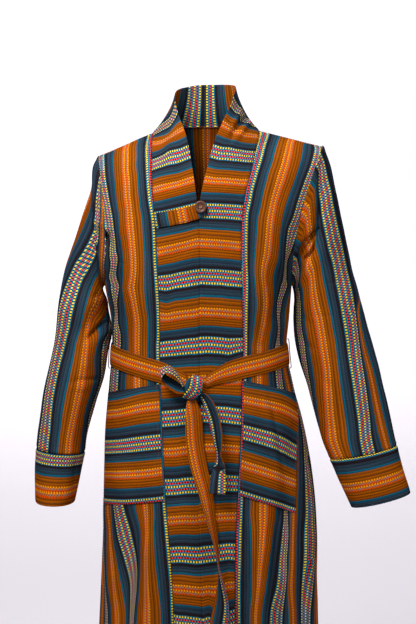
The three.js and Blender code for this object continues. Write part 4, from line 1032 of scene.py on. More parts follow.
# ---- Creases drawn from the photograph: x and y in pixels, depth in mm, half width in pixels --
MARKS = {
    "front_right": [
        [(109, 182, 0, 3), (113, 215, -1.8, 3.5), (118, 250, -2.2, 3.5), (123, 292, 0, 3)],
        [(120, 262, -1.2, 1.5), (127, 266, 0, 1.5)],
        [(133, 292, 0, 3), (129, 320, -2, 3), (127, 350, -2.2, 3)],
        [(147, 296, 0, 2.5), (150, 350, -1.6, 2.5)], [(141, 290, 0, 3), (139, 350, 1.6, 3)],
        [(117, 305, 0, 2), (119, 345, -1.8, 2)],
        [(136, 520, 0, 3), (139, 560, -5, 4), (137, 600, -5.5, 4), (134, 640, -5, 4)],
        [(147, 505, 0, 4), (148, 560, 3, 5), (147, 640, 3, 5)],
        [(118, 505, 2, 5), (124, 560, 3, 6), (121, 640, 3.5, 6)],
        [(109, 520, -1, 3), (112, 570, -3, 3.5), (108, 640, -2.5, 3.5)],
        [(160, 520, 0, 3), (161, 570, -1.6, 3.5), (163, 640, -1.6, 3.5)],
    ],
    "front_left": [
        [
            (312, 196, 0, 3), (300, 235, -1.6, 3), (288, 262, -2, 3), (284, 300, -2.4, 3.5),
            (281, 340, -2, 3),
        ],
        [(272, 250, 0, 4), (264, 300, -1.6, 4), (262, 345, -2, 3.5)],
        [(254, 290, 0, 4), (252, 350, 1.5, 4)],
        [(279, 500, -2, 4), (276, 560, -5, 4), (270, 640, -5.5, 4)],
        [(293, 505, 1, 4), (292, 560, 3, 4.5), (289, 640, 3.5, 5)],
        [(264, 505, 1, 5), (263, 570, 2.6, 5.5), (259, 640, 2.6, 6)],
        [(301, 470, -1, 3), (303, 540, -3, 3.5), (302, 640, -3.5, 3.5)],
        [(250, 520, 0, 3), (249, 570, -1.6, 3), (246, 640, -1.6, 3)],
        [(310, 440, 0, 4), (312, 520, 2, 4), (311, 640, 2.5, 4)],
    ],
    "sleeve_right": [
        [
            (100, 184, 0, 2), (102, 205, -2.4, 2.2), (104, 228, -5.5, 2.4), (105.5, 238, -8, 3),
            (106, 250, -4, 3), (106, 262, 0, 3),
        ],
        [(104, 222, 2, 2), (99, 226, 2.4, 2.2), (94, 228, 0, 2)],
        [(99, 206, 0, 2), (93, 214, -1.6, 2), (86, 219, 0, 2)],
        [(97, 190, 0, 4), (92, 230, 2, 5), (84, 262, 0, 5)],
        [(111, 303, -1, 2.6), (101, 322, -6.5, 2.4), (94, 331, -6, 2.2), (86, 338, -2, 2.4)],
        [(113, 320, 2, 3), (104, 332, 4.5, 3.4), (92, 347, 0, 4)],
        [(109, 286, 0, 3), (97, 296, -2.6, 3), (85, 300, 0, 3)],
        [(112, 328, 0, 2.5), (104, 343, -3, 2.5), (98, 360, 0, 2.5)],
        [(64, 384, 0, 2), (80, 380, -2, 2), (96, 379, -2.4, 2)],
        [(64, 390, 0, 3), (80, 388, 1.4, 3), (94, 386, 0, 3)],
        [(97, 398, 0, 3), (90, 420, -3.2, 3), (82, 442, 0, 3)],
        [(88, 350, 0, 3), (84, 366, 1.8, 4), (82, 376, 0, 3)],
        [(76, 300, 0, 3), (70, 318, -1.4, 3), (68, 340, 0, 3)],
    ],
    "sleeve_left": [
        [
            (319.6, 158, -1, 1.8), (319.2, 180, -2.4, 2), (319, 200, -3.6, 2), (318, 218, -5, 2.2),
            (317.6, 227, -7, 2.2), (313, 234, -8.5, 2.2), (303, 246, -8.5, 2.4), (300, 258, -6, 3),
            (296, 272, -2, 3),
        ],
        [(322, 228, 2, 2.5), (317, 238, 4, 2.6), (308, 249, 4.5, 3), (302, 262, 2.5, 3.5)],
        [(316.5, 234, -2, 1.6), (311.5, 251, -4.5, 1.8), (305, 258, -3, 2)],
        [(303, 212, 0, 2), (311, 221, -2.2, 2), (317, 227, -2, 2)],
        [(322, 190, 0, 4), (324, 222, 2.4, 5), (316, 252, 3, 6), (306, 280, 0, 5)],
        [(321, 283.4, 0, 1.2), (333, 283, -.9, 1.2), (345, 281.6, 0, 1.2)],
        [(308, 315, 0, 1.3), (322, 316, -1, 1.3), (337, 316, 0, 1.3)],
        [(298, 300, 0, 3), (304, 318, -2.2, 3), (313, 330, 0, 3)],
        [(299, 330, 0, 3), (308, 346, -1.8, 3), (320, 352, 0, 3)],
        [(328, 428, 0, 1.4), (338, 430, -1, 1.4), (348, 428, 0, 1.4)],
        [(336, 330, 0, 5), (340, 380, 1.8, 5), (346, 420, 0, 5)],
        [(318, 372, 0, 3), (328, 384, -1.6, 3), (336, 402, 0, 3)],
    ],
    "cuff_right": [
        [(77, 448, 0, 2), (75, 470, -2.4, 2.2), (75, 500, -2.6, 2.2)],
        [(68, 452, 0, 3), (66, 498, 1.2, 3)],
    ],
    "cuff_left": [[(338, 452, 0, 2.5), (345, 478, -1.2, 2.5), (350, 500, 0, 2.5)]],
    "band_right": [
        [(176, 118, 0, 2.5), (166, 134, -1.8, 3), (158, 140, 0, 2.5)],
        [(180, 128, 0, 3), (170, 146, 1.2, 4), (160, 152, 0, 3)],
    ],
    "band_left": [
        [(247, 117, -7, 2), (240.5, 121, -8, 2), (234, 130, -5.5, 2.2), (228, 141, -1, 2.6)],
        [(252, 121, 4, 2.4), (244, 127, 5, 2.6), (236, 139, 2.6, 3), (229, 150, 0, 3)],
        [(241, 108, 2, 2.4), (237, 117, 3, 2.4), (230, 128, 0, 3)],
        [(226, 118, 0, 2), (231, 125, -2.4, 1.6), (236, 131, 0, 2)],
    ],
    "pocket_right": [
        [(107, 449, -.9, 1.3), (122, 452, -1.4, 1.5), (138, 449, -.6, 1.5), (150, 448, 0, 1.4)],
        [(107, 443, .8, 2.5), (123, 446, 1, 3), (140, 444, 0, 3)],
        [(133, 462, 0, 2), (138, 476, -1, 2.5), (142, 488, 0, 2)],
        [(118, 396, 0, 3), (122, 420, -.9, 4), (119, 440, 0, 3)],
    ],
    "pocket_left": [
        [
            (266, 388, 0, 2), (272, 410, -1.8, 2), (277, 440, -2.6, 2), (282, 470, -2.2, 2),
            (286, 492, 0, 2),
        ],
        [
            (261, 388, 0, 2.5), (266, 412, 1.5, 3), (271, 440, 2, 3), (276, 470, 1.4, 3),
            (279, 492, 0, 3),
        ],
        [(250, 386, 0, 4), (252, 420, .9, 4), (252, 450, 0, 4)],
    ],
}
# Overhanging folds: x and y in pixels, rise of the left bank and drop of the right bank in mm.
SHARP = {
    "sleeve_left": [
        [(318.2, 229, .5, 5), (319.2, 205, 1.4, 5), (319.6, 180, 1.2, 3), (319.8, 158, .4, .5)],
        [
            (303, 262, 0, 1), (300.5, 250, 1.5, 5), (303, 245, 3, 8), (313, 234, 3.5, 8),
            (318.5, 228, 2, 5), (322, 226, 0, 0),
        ],
        [(303, 259, 0, 1), (306, 256, 1, 4), (311.5, 250, 1.4, 4.5), (316, 236, 1, 2)],
    ],
    "sleeve_right": [
        [(84, 341, 0, .5), (91, 334, 2, 4), (101, 322.5, 3, 6), (112, 317, 2, 4)],
        [(96, 305, 0, 0), (104, 299, .8, 1.6), (112, 293, .4, 1)],
    ],
    "band_left": [
        [
            (228, 144, 0, .5), (231.5, 137, 1.5, 2.5), (236, 129, 2, 4), (241, 123.5, 2, 4.5),
            (247, 120, 1, 3),
        ],
    ],
    "pocket_left": [[(286, 488, 0, 0), (280, 455, .5, .9), (275, 425, .6, 1.0), (270, 400, 0, 0)]],
}
# Hidden sides: x and z in millimetres.
BACK_MARKS = {
    "back": [
        [(-30, -250, 0, 7), (-34, -320, -2.4, 7), (-30, -385, -2.6, 7)],
        [(24, -262, 0, 7), (28, -330, -2.2, 7), (24, -385, -2.4, 7)],
        [(-84, -268, 0, 6), (-78, -330, -2.4, 6), (-74, -385, -2, 6)],
        [(76, -272, 0, 6), (70, -385, -2.2, 6)], [(-52, -300, 0, 8), (-54, -380, 2, 8)],
        [(0, -290, 0, 8), (-2, -385, 2, 8)], [(50, -290, 0, 8), (48, -380, 1.8, 8)],
        [(-165, -110, 0, 12), (-120, -150, -2, 14), (-60, -172, 0, 14)],
        [(160, -106, 0, 12), (112, -148, -1.8, 14), (58, -168, 0, 14)],
        [(-70, -430, -2, 8), (-76, -560, -3, 12), (-84, -760, 0, 14)],
        [(-20, -430, -2, 8), (-16, -580, -2.6, 12), (-20, -800, 0, 14)],
        [(30, -430, 2, 8), (26, -600, 2.4, 12), (28, -900, 0, 14)],
        [(74, -430, -2, 8), (78, -560, -2.6, 12), (86, -760, 0, 14)],
        [(-30, -840, 0, 10), (-34, -980, 2, 14), (-40, -1128, 3, 16)],
        [(22, -860, 0, 10), (24, -1000, -2.4, 14), (30, -1128, -3, 16)],
        [(80, -820, 0, 10), (78, -980, 2.6, 14), (84, -1128, 3, 16)],
        [(-96, -380, 0, 5), (-88, -372, -1.4, 4), (-60, -371, -1, 4)],
    ],
    "sleeve_right": [
        [(-190, -240, 0, 8), (-215, -300, -2.6, 9), (-236, -340, 0, 9)],
        [(-186, -318, 0, 7), (-222, -346, -3, 8), (-254, -380, 0, 8)],
        [(-190, -352, 0, 7), (-226, -384, 2.4, 8), (-262, -420, 0, 8)],
        [(-200, -120, 0, 10), (-206, -190, -2, 12), (-214, -260, 0, 10)],
        [(-230, -470, 0, 7), (-258, -480, -1.8, 7), (-290, -482, 0, 7)],
    ],
    "sleeve_left": [
        [(176, -250, 0, 8), (206, -300, -2.6, 9), (238, -330, 0, 9)],
        [(184, -322, 0, 7), (220, -350, -3, 8), (262, -372, 0, 8)],
        [(190, -362, 0, 7), (228, -392, 2.2, 8), (270, -410, 0, 8)],
        [(205, -120, 0, 10), (212, -190, -2, 12), (206, -250, 0, 10)],
        [(226, -476, 0, 7), (262, -486, -1.8, 7), (300, -484, 0, 7)],
    ],
}


# ---- Cut pieces -----------------------------------------------------------------------------
def chart_pair(q, t):
    return np.stack(np.broadcast_arrays(q, t), axis=-1).astype(float)


def even_rows(at, u, start, end, step, edge=0.0012):
    """Rows about step millimetres apart along the middle of a surface, closer by both ends."""
    v = np.linspace(start, end, 600)
    run = run_length(at(np.full(600, float(u)), v)[:, None], 0)[:, 0]
    count = int(run[-1] / step)
    return np.interp(spread(0, run[-1], count, edge), run, v)


def front_chart(side):
    def chart(U, V, p):
        q = column_chart(FRONT_CHART[side], FRONT_LINES, U[0], V[:, 0], run_length(p, 1)[:, -1])
        return chart_pair(q, run_length(p, 0))
    return chart


def back_chart(U, V, p):
    run = run_length(p, 1)
    middle = run[:, U.shape[1] // 2][:, None]
    return chart_pair(72 + 0.45 * (run - middle) + 0.55 * U * 300, run_length(p, 0))


def band_chart(side):
    lines = [13.5] + [a + REPEAT * k for k in range(8) for a in (46, 97)]

    def chart(U, V, p):
        us, vs, down = U[0], V[:, 0], run_length(p, 0)
        table = np.empty((len(vs), len(BAND_SHARES)))
        for s, share in enumerate(BAND_SHARES):
            run = np.array([np.interp(share, us, down[j]) for j in range(len(vs))])
            known = list(zip(BAND_CHART[side][s], lines))
            v0, v1 = known[0][0], known[-1][0]
            top = known[0][1] - np.interp(v0, vs, run)
            low = known[-1][1] + 0.97 * (run[-1] - np.interp(v1, vs, run))
            known = [(vs[0], top)] + known + [(vs[-1], low)]
            table[:, s] = monotone([k[0] for k in known], [k[1] for k in known], vs)
        q = np.stack([monotone(BAND_SHARES, row, us) for row in table])
        level = q[:, q.shape[1] // 2][:, None]
        q = q + (level - q) * smooth(-V, 0.3, 2.2)
        return chart_pair(q, run_length(p, 1))
    return chart


def closed(p):
    return np.concatenate([p, p[:, :1]], axis=1)


def along_rows(q, p):
    """Distance along the stripes of q, however they turn on a grid of points: least squares by cosines."""
    eu, ev = np.gradient(p, axis=1), np.gradient(p, axis=0)
    e, f, g = (eu * eu).sum(-1), (eu * ev).sum(-1), (ev * ev).sum(-1)
    qu, qv = np.gradient(q, axis=1), np.gradient(q, axis=0)
    size = np.sqrt(np.maximum(g * qu * qu - 2 * f * qu * qv + e * qv * qv, 1e-6))
    du, dv = (f * qu - e * qv) / size, (g * qu - f * qv) / size
    du, dv = (du[:, 1:] + du[:, :-1]) / 2, (dv[1:] + dv[:-1]) / 2
    r = np.zeros_like(q)
    r[:, :-1] += du
    r[:, 1:] -= du
    r[:-1] += dv
    r[1:] -= dv

    def waves(n):
        k = np.arange(n)[:, None]
        c = np.cos(math.pi * k * (np.arange(n) + 0.5) / n)
        return c / np.linalg.norm(c, axis=1, keepdims=True), 2 * np.cos(math.pi * k[:, 0] / n) - 2
    (cu, lu), (cv, lv) = waves(q.shape[1]), waves(q.shape[0])
    size = lv[:, None] + lu[None]
    size[0, 0] = 1e9
    return cv.T @ (cv @ r @ cu.T / size) @ cu


def sleeve_chart(side):
    def chart(U, V, p):
        ring = run_length(closed(p), 1)
        degrees = np.append(U[0], U[0][0] + 360)
        q = column_chart(SLEEVE_CHART[side], SLEEVE_LINES[side], degrees, V[:, 0], ring[:, -1] / 360)
        return chart_pair(q, along_rows(q, closed(p)))
    return chart


def cuff_chart(side):
    def chart(U, V, p):
        q = monotone(*CUFF_CHART[side], V[:, 0])[:, None]
        return chart_pair(q, run_length(closed(p), 1))
    return chart


def mix(a, b, t):
    return a + (b - a) * t


POCKET_HOLLOW, POCKET_START = {RIGHT: 0.0, LEFT: 0.065}, 0.012    # shares of the panel's width


def pocket_surface(side, name):
    at = SURFACE[name][0]
    cut = POCKETS[side]

    def place(s, t):
        width = mix(cut["mouth"], cut["foot"], t) - POCKET_START
        u = POCKET_START + s * width - POCKET_HOLLOW[side] * s * np.sin(math.pi * t)
        v = mix(mix(cut["mouthIn"], cut["mouthOut"], s), mix(cut["footIn"], cut["footOut"], s) + 0.1, t)
        return u, v
    return (lambda s, t: at(*place(s, t))), place


def pocket_chart(side, place):
    shares, rows = POCKET_CHART[side]

    def chart(U, V, p):
        _, v = place(U, V)
        lines = np.stack([monotone(shares, line, U[0]) for line in zip(*rows)], axis=1)
        q = np.stack([monotone(lines[i], POCKET_LINES, v[:, i]) for i in range(U.shape[1])], axis=1)
        return chart_pair(q, run_length(p, 1))
    return chart


def tucked(at):
    """Band surface whose seam edge reaches a little under the back at the neck."""
    return lambda u, v: at(u - 0.014 * (1 - u) * smooth(-v, 0, 1), v)


def band_edge(U, V, p):
    """The upper band's front edge is turned: it stands up a little, and sinks at its very edge."""
    away = (1 - U) * 70
    return smooth(V, 9.5, 11) * (0.9 * np.exp(-((away - 2) / 3.2) ** 2) - 0.5 * np.exp(-((away / 1.2) ** 2)))


def under(at):
    """Sleeve surface whose first rows reach under the panels, further at the underarm."""
    return lambda u, v: at(u, np.where(v < 0, v * (1 + 4 * ((1 - np.cos(np.radians(u))) / 2) ** 2), v))


def armhole_tuck(U, V, p):
    """The tuck beside the right armhole: the strip bulges, then sinks into a hollow."""
    xy = project(p)
    bulge = creases(xy, [[(102, 224, 1, 3), (106, 228, 3, 3), (110, 229, 1, 3)]])
    hollow = creases(xy, [[(103, 233, -5, 2.6), (106, 236, -8, 3.4), (108, 243, -5, 3), (107, 250, 0, 2)]])
    return (bulge + hollow) * smooth(-p[..., 1], 5, 25)


def sleeve_inner(U, V, p):
    """The right sleeve's inner side fills out above the elbow."""
    return 9 * np.exp(-(((U - 180) / 38) ** 2)) * smooth(V, 1.6, 3.4) * (1 - smooth(V, 5.6, 7.6))


def cut(name, us, rows, chart, around=lambda at: at, **how):
    """Make a piece on its own surface, changed by around; rows are what even_rows takes."""
    at, _, _, sign = SURFACE[name]
    made[name] = piece_on(name, around(at), us, even_rows(at, *rows), sign, chart, **how)


made = {}
DEGREES = np.linspace(-160, 200, 145)[:-1]
for side, word in SIDES:
    right = side == RIGHT
    cut("front_" + word, spread(0.0015, 0.9985, 66, 0.006), (0.5, 0.01, HEM, 3.2), front_chart(side),
        seams="abc", rough=0.45, lift=armhole_tuck if right else None)
    cut("band_" + word, spread(0.004, 1, 30, 0.012), (0.5, -6.03, HEM, 2.8), band_chart(side), tucked,
        seams="a", rough=0.3, slot="band_cotton", lift=None if right else band_edge)
    cut("sleeve_" + word, DEGREES, (45.0, -0.12, 11.985, 2.9), sleeve_chart(side), under,
        seams="cd", rough=0.5, tube=True, lift=sleeve_inner if right else None)
    cut("cuff_" + word, DEGREES, (45.0, 12.004, 14, 3.2, 0.006), cuff_chart(side),
        seams="c", rough=0.25, rise=0.35, thick=CUFF_THICK, tube=True, slot="band_cotton")
    name, panel = "pocket_" + word, "front_" + word
    at, place = pocket_surface(side, panel)
    made[name] = piece_on(name, at, spread(0, 1, 40, 0.006), spread(0, 1, 52, 0.004), SURFACE[panel][3],
                          pocket_chart(side, place), rough=0.3, rise=POCKET_RISE + CLOTH / 2 - 0.5,
                          thick=POCKET_THICK)
cut("back", spread(-0.999, 0.999, 130, 0.003), (0.3, -0.03, HEM, 4.2), back_chart, seams="abc", rough=0.6)


# ---- Belt, bow, tails, tab and carriers: turned straps --------------------------------------
def stripes(middle, slope):
    """Chart of a strap whose stripes run along it, with the line middle on its centre."""
    return lambda run, s: (middle + slope * s, run)


def strap(name, at, across, normal, half, crease, bulge, wall, face, rear, columns, *, material=None,
          replaces=None):
    """Turned strap along frames; face and rear give (q, t) from the row's run and the share across."""
    s = np.concatenate([[-1, -.96], np.linspace(-.86, .86, columns), [.96, 1]])
    S = s[None, :]
    run = run_length(at[:, None], 0)
    lift = (crease * (1 - np.abs(S) ** 1.4) + bulge * (1 - S * S))[..., None]
    middle = at[:, None] + across[:, None] * (S * half)[..., None] + normal[:, None] * lift
    thick = (wall / 2 * np.sqrt(np.clip(1 - 0.86 * np.abs(S) ** 6, 0.05, 1)) + 0 * half)[..., None]
    n = grid_normals(middle, 1)
    n = n * np.sign(np.sum(n * normal[:, None], axis=-1, keepdims=True))
    charts = [chart_pair(*chart(run, S + 0 * run)) for chart in (face, rear)]
    o = cloth_shell(name + "_cloth", middle + n * thick, middle - n * thick, *charts, material or COTTON)
    return dress(o, replaces or name), middle, n


def column(values):
    return np.asarray(values, float)[:, None]


def belt_path():
    at, across, normal, half = [], [], [], []
    legs = [("band_right", "bandRight", 0.62, 0.02, 12), ("front_right", "frontRight", 0.02, 0.985, 40),
            ("back", "back", -0.985, 0.985, 90), ("front_left", "frontLeft", 0.985, 0.02, 36),
            ("band_left", "bandLeft", 0.02, 0.84, 16)]
    for name, key, start, end, count in legs:
        surface, du, dv, sign = SURFACE[name]
        line = BELT_LINE[key]
        line = line if line[-1][0] > line[0][0] else line[::-1]
        u = np.linspace(start, end, count)
        v = along(line, u)[:, 0]
        low, high = surface(u, v + 0.5), surface(u, v - 0.5)
        n = normal_of(surface, u, v, du, dv, sign)
        knotted, narrow = 0 * u, 1 + 0 * u
        if name == "band_right":
            knotted, narrow = BELT_AT_KNOT * smooth(u, 0.1, 0.62), 1 - 0.14 * smooth(u, 0.1, 0.62)
        if name == "band_left":
            narrow = 1 - 0.38 * smooth(u, 0.25, 0.84)
        at.append(surface(u, v) + n * (BELT_RISE + knotted)[:, None])
        across.append(unit(low - high))
        normal.append(n)
        half.append(narrow * BELT_WIDTH / 2)
    at, across, normal, half = [np.concatenate(x) for x in (at, across, normal, half)]

    def eased(x, times):
        x = x.copy()
        for _ in range(times):
            x[1:-1] = (x[:-2] + 2 * x[1:-1] + x[2:]) / 4
        return x
    return eased(at, 3), unit(eased(across, 8)), unit(eased(normal, 10)), eased(half, 4)


at, across, normal, half = belt_path()
rows = len(at)
share = np.linspace(0, 1, rows)
pull = smooth(share, 0.955, 1.0) + smooth(1 - share, 0.97, 1.0)
belt_crease = column(0.5 * np.sin(share * 61) + 2.0 * pull)
made["belt_waist"] = strap("belt_waist", at, across, normal, column(half), belt_crease * 0.6,
                           0.5 + 0.9 * column(pull), 2.2, stripes(72, 18.4), stripes(109, -18.4), 21)


def frames_of(table, count, last):
    i = np.linspace(0, last, count)
    rows = [[k, *r] for k, r in enumerate(table)]
    now = along(rows, i)
    ahead = unit(along(rows, np.minimum(i + 0.05, last))[:, :3] - along(rows, np.maximum(i - 0.05, 0))[:, :3])
    return i, now, ahead


def tail(name, table, charts, count, wave):
    last = len(table) - 1
    i, now, down = frames_of(table, count, last)
    level = vec(np.cos(np.radians(now[:, 4])), np.sin(np.radians(now[:, 4])), 0)
    normal = unit(np.cross(level, down))
    across = unit(np.cross(down, normal))
    face = np.array(charts, float)
    centre, slope = [np.interp(i, face[:, 0], face[:, k])[:, None] for k in (1, 2)]
    other, back_slope = [np.interp(i, face[:, 0], face[:, k])[:, None] for k in (3, 4)]
    crease = column(now[:, 5] + wave * np.sin(i * 2.9 + 1))
    made[name] = strap(name, now[:, :3], across, normal, column(now[:, 3]), crease, 0.3, 1.9,
                       stripes(other, back_slope), stripes(centre, slope), 15)


# Chart rows: place on the tail, then middle and slope of the near face and of the far face.
tail("belt_tail_long", TAIL_A, [[0, 80, 10, 109, -10], [2, 79, 18.5, 109, -18.5], [7, 76, 18.5, 109, -18.5],
                                [13, 72, 18.5, 109, -18.5]], 150, 0.5)
tail("belt_tail_short", TAIL_B, [[0, 110, -14, 72, 14], [6, 110, -17, 72, 17], [7, 117, 15, 72, -15],
                                 [9, 117, 14, 72, -14]], 90, 0.4)


def bow():
    last = len(BOW_LINE) - 1
    i, now, ahead = frames_of([[x, 0, z] for x, z in BOW_LINE], 80, last)
    tilt = np.radians(20 + 42 * smooth(i, 2.6, 5.2))
    depth = vec(0.16 * smooth(i, 3, 6), -np.cos(tilt), -np.sin(tilt))
    now = now + vec(0, 0, 15 * smooth(i, 2.8, 5.6))
    normal = unit(np.cross(ahead, depth))
    half = 12.5 - 4.5 * smooth(1.8 - i, 0, 1.8) - 5.0 * smooth(i, last - 1.8, last)
    at = now + [0, -120.5, 0] + depth * 12.5
    crease = 0.8 * np.sin(i * 1.7)
    return strap("belt_bow_loop", at, unit(depth), normal, column(half), column(crease) * 0.6, 0.4, 2.0,
                 stripes(14, 12.5), stripes(103, -9), 13)


made["belt_bow_loop"] = bow()


# ---- Knot: a dark core with the dotted stretch of the belt wrapped over its front -----------
def knot():
    lean, centre = math.radians(KNOT["lean"]), np.array(KNOT["at"], float)
    side_axis = np.array([math.cos(lean), 0, -math.sin(lean)])
    up_axis = np.array([math.sin(lean), 0, math.cos(lean)])
    a, b = np.meshgrid(np.linspace(0, 2 * math.pi, 49)[:-1], np.linspace(0.06, math.pi - 0.06, 30))
    d = np.stack([np.sin(b) * np.cos(a), np.sin(b) * np.sin(a), np.cos(b)], axis=-1)
    d = d / (np.sum(np.abs(d) ** 2.4, axis=-1, keepdims=True) ** (1 / 2.4))
    groove = (1 - 0.05 * np.exp(-(((d[..., 0] + 0.45) / 0.14) ** 2))
              - 0.03 * np.exp(-(((d[..., 0] + 0.05 * d[..., 2] + 0.75) / 0.1) ** 2)))
    d = d * groove[..., None]
    h = [KNOT["half"][0] * 0.96, KNOT["half"][1] * 0.9, KNOT["half"][2] * 0.95]
    p = centre + (d[..., :1] * h[0] * (1 - 0.12 * d[..., 2:])) * side_axis + d[..., 2:] * h[2] * up_axis
    p = p + np.stack([0 * a, d[..., 1] * h[1], 0 * a], axis=-1)
    inner = centre + (p - centre) * 0.9
    q = 106 + 7 * closed(d)[..., 0]
    uv = chart_pair(q, run_length(closed(p), 0))
    dress(cloth_shell("belt_knot_core", p, inner, uv, uv, COTTON, True), "belt_knot")
    turn = np.radians(np.linspace(-118, 118, 60))
    y, z = -12.0 * np.cos(turn), -20.2 * np.sin(turn)
    slide = 4.4 - 1.2 * (z / 20.2) ** 2 - 7.5 * smooth(-z, 0, 20) - 1.0 * smooth(z, 8, 20)
    at = centre + slide[:, None] * side_axis + z[:, None] * up_axis + vec(0 * y, y, 0 * y)
    normal = unit((z / 20.2**2)[:, None] * up_axis + vec(0 * y, y / 12.0**2, 0 * y))
    half = 10.4 - 1.6 * (np.sin(turn) ** 2)
    ahead = unit(np.gradient(at, axis=0))
    level = unit(np.cross(ahead, normal))
    level = level * np.sign(level @ side_axis)[:, None]
    strap("belt_knot_wrap", at, level, normal, column(half), -2.6 + 0 * column(turn), 2.6, 2.0,
          stripes(12.5, 10.6), stripes(72, 10), 15, replaces="belt_knot")


knot()


def tab():
    i, now, ahead = frames_of(TAB_LINE, 60, len(TAB_LINE) - 1)
    normal = -unit(np.cross(np.array([0, 0, 1.0])[None], ahead))
    across = unit(np.cross(ahead, normal))
    half = now[:, 3] - 0.5 * np.abs(np.sin(i * 2.3)) * smooth(i, 0.3, 1)
    crease = 0.5 + 0.5 * np.sin(i * 1.9 + 0.6)

    def chart(run, s):
        return 24.0 + run, 12.5 * s
    return strap("button_tab", now[:, :3], across, normal, column(half), column(crease), 0.2, 1.9,
                 chart, chart, 15)


made["button_tab"] = tab()


CARRIER_ROW, ROW_HEIGHT = 16.19, 29.5    # the belt's row at the sides, and millimetres to a row there


def carrier(side, name, material):
    a = np.radians(np.linspace(-90, 90, 41))
    height = CARRIER["halfHeight"] * np.sin(a)
    wall = along(SIDE_SEAM[side], CARRIER_ROW - height / ROW_HEIGHT)[:, 0]
    y, z = along(SIDE_SEAM[side], CARRIER_ROW)[0, 1:]
    reach = CLOTH / 2 + 0.6 + CARRIER["wall"] / 2 + CARRIER["reach"] * np.cos(a).clip(0, 1) ** 0.55
    at = vec(wall + side * reach, y, z + height)
    ahead = unit(np.gradient(at, axis=0))
    across = np.tile([0.0, 1.0, 0.0], (len(at), 1))
    normal = unit(np.cross(ahead, across))
    twist = 1.9 + 0.35 * np.sin(np.arange(41) * 1.5)
    strap(name, at, across, normal, column(twist), 0 * column(a), 0.25, 1.4, stripes(36, 2), stripes(36, 2), 7,
          material=material)


carrier(RIGHT, "belt_carrier_right", CREAM)
carrier(LEFT, "belt_carrier_left", NAVY)


# ---- Button: dished four-hole disc, and its thread ------------------------------------------
BUTTON_AT, BUTTON_RADIUS, BUTTON_PITCH, BUTTON_HOLE = np.array([-12.5, -118.4, -131.5]), 10.25, 5.2, 1.1


def button():
    a = np.linspace(0, 2 * math.pi, 97)[:-1]
    front_r = np.concatenate([np.linspace(0.02, 9.2, 36), [9.5, 9.75, 9.95, 10.1, 10.2, BUTTON_RADIUS]])
    R, A = np.meshgrid(front_r, a, indexing="ij")
    x, z = R * np.cos(A), R * np.sin(A)
    face = (3.3 - 1.0 * (1 - smooth(R, 5.6, 7.6)) + 0.3 * np.exp(-(((R - 8.2) / 1.0) ** 2))
            - 1.1 * np.clip((R - 9.2) / 1.05, 0, 1) ** 2)
    for hx in (-1, 1):
        for hz in (-1, 1):
            away = np.hypot(x - hx * BUTTON_PITCH / 2, z - hz * BUTTON_PITCH / 2)
            face -= 1.9 * (1 - smooth(away, BUTTON_HOLE * 0.8, BUTTON_HOLE * 1.2))
    rear = 0.05 + 0.5 * np.clip((R - 8.6) / 1.65, 0, 1) ** 2
    front = vec(x, -face, z) + BUTTON_AT
    back = vec(x, -rear, z) + BUTTON_AT
    flat = np.zeros(front.shape[:1] + (97, 2))
    dress(cloth_shell("button_disc", front, back, flat, flat, WOOD, True), "button")


def bars(name, starts, ends, radius, material, arch, normals, replaces=None):
    """Short rounded stitches, all in one mesh."""
    starts, ends = np.asarray(starts, float), np.asarray(ends, float)
    ahead = unit(ends - starts)
    side_axis = unit(np.cross(ahead, normals))
    up = np.cross(side_axis, ahead)
    rings = []
    for t, r in ((0.0, 0.25), (0.22, 1.0), (0.5, 1.08), (0.78, 1.0), (1.0, 0.25)):
        middle = starts + (ends - starts) * t + up * arch * 4 * t * (1 - t)
        for k in range(6):
            a = k * math.pi / 3
            rings.append(middle + (side_axis * math.cos(a) + up * math.sin(a)) * radius * r)
    points = np.stack(rings, axis=1)
    quads = []
    for r in range(4):
        for k in range(6):
            quads.append([r * 6 + k, r * 6 + (k + 1) % 6, (r + 1) * 6 + (k + 1) % 6, (r + 1) * 6 + k])
    quads += [[0, 3, 2, 1], [0, 5, 4, 3], [24, 25, 26, 27], [24, 27, 28, 29]]
    quads = np.array(quads)[None] + 30 * np.arange(len(points))[:, None, None]
    dress(mesh_object(name, points.reshape(-1, 3), quads.reshape(-1, 4), None, material), replaces)


STITCH_PITCH, STITCH_LENGTH = 3.3, 2.2


def seam_row(p, n, path, thick):
    """Stitches along grid positions (row, column) as floats, laid on a piece's outer face."""
    j0, i0 = [np.floor(path[:, k]).astype(int).clip(0, p.shape[k] - 2) for k in (0, 1)]
    b, a = (path[:, 0] - j0)[:, None], (path[:, 1] - i0)[:, None]

    def at(g):
        return (g[j0, i0] * (1 - a) * (1 - b) + g[j0, i0 + 1] * a * (1 - b)
                + g[j0 + 1, i0] * (1 - a) * b + g[j0 + 1, i0 + 1] * a * b)
    line, up = at(p), unit(at(n))
    line = line + up * (thick / 2)
    run = run_length(line[:, None], 0)[:, 0]
    s = np.arange(1.5, run[-1] - STITCH_LENGTH, STITCH_PITCH)

    def pick(g, s):
        return np.stack([np.interp(s, run, g[:, k]) for k in range(3)], axis=-1)
    return pick(line, s), pick(line, s + STITCH_LENGTH), unit(pick(up, s))


def edge_path(p, axis, away, from_end):
    """Grid positions at a distance from a side edge (axis 1) or from an end (axis 0) of a piece."""
    run = run_length(p, axis) if axis else run_length(p, axis).T
    if from_end:
        away, run = -away, run - run[:, -1:]
    places = np.array([np.interp(away, row, np.arange(len(row))) for row in run])
    steps = np.arange(len(places), dtype=float)
    return np.stack([steps, places] if axis else [places, steps], 1)


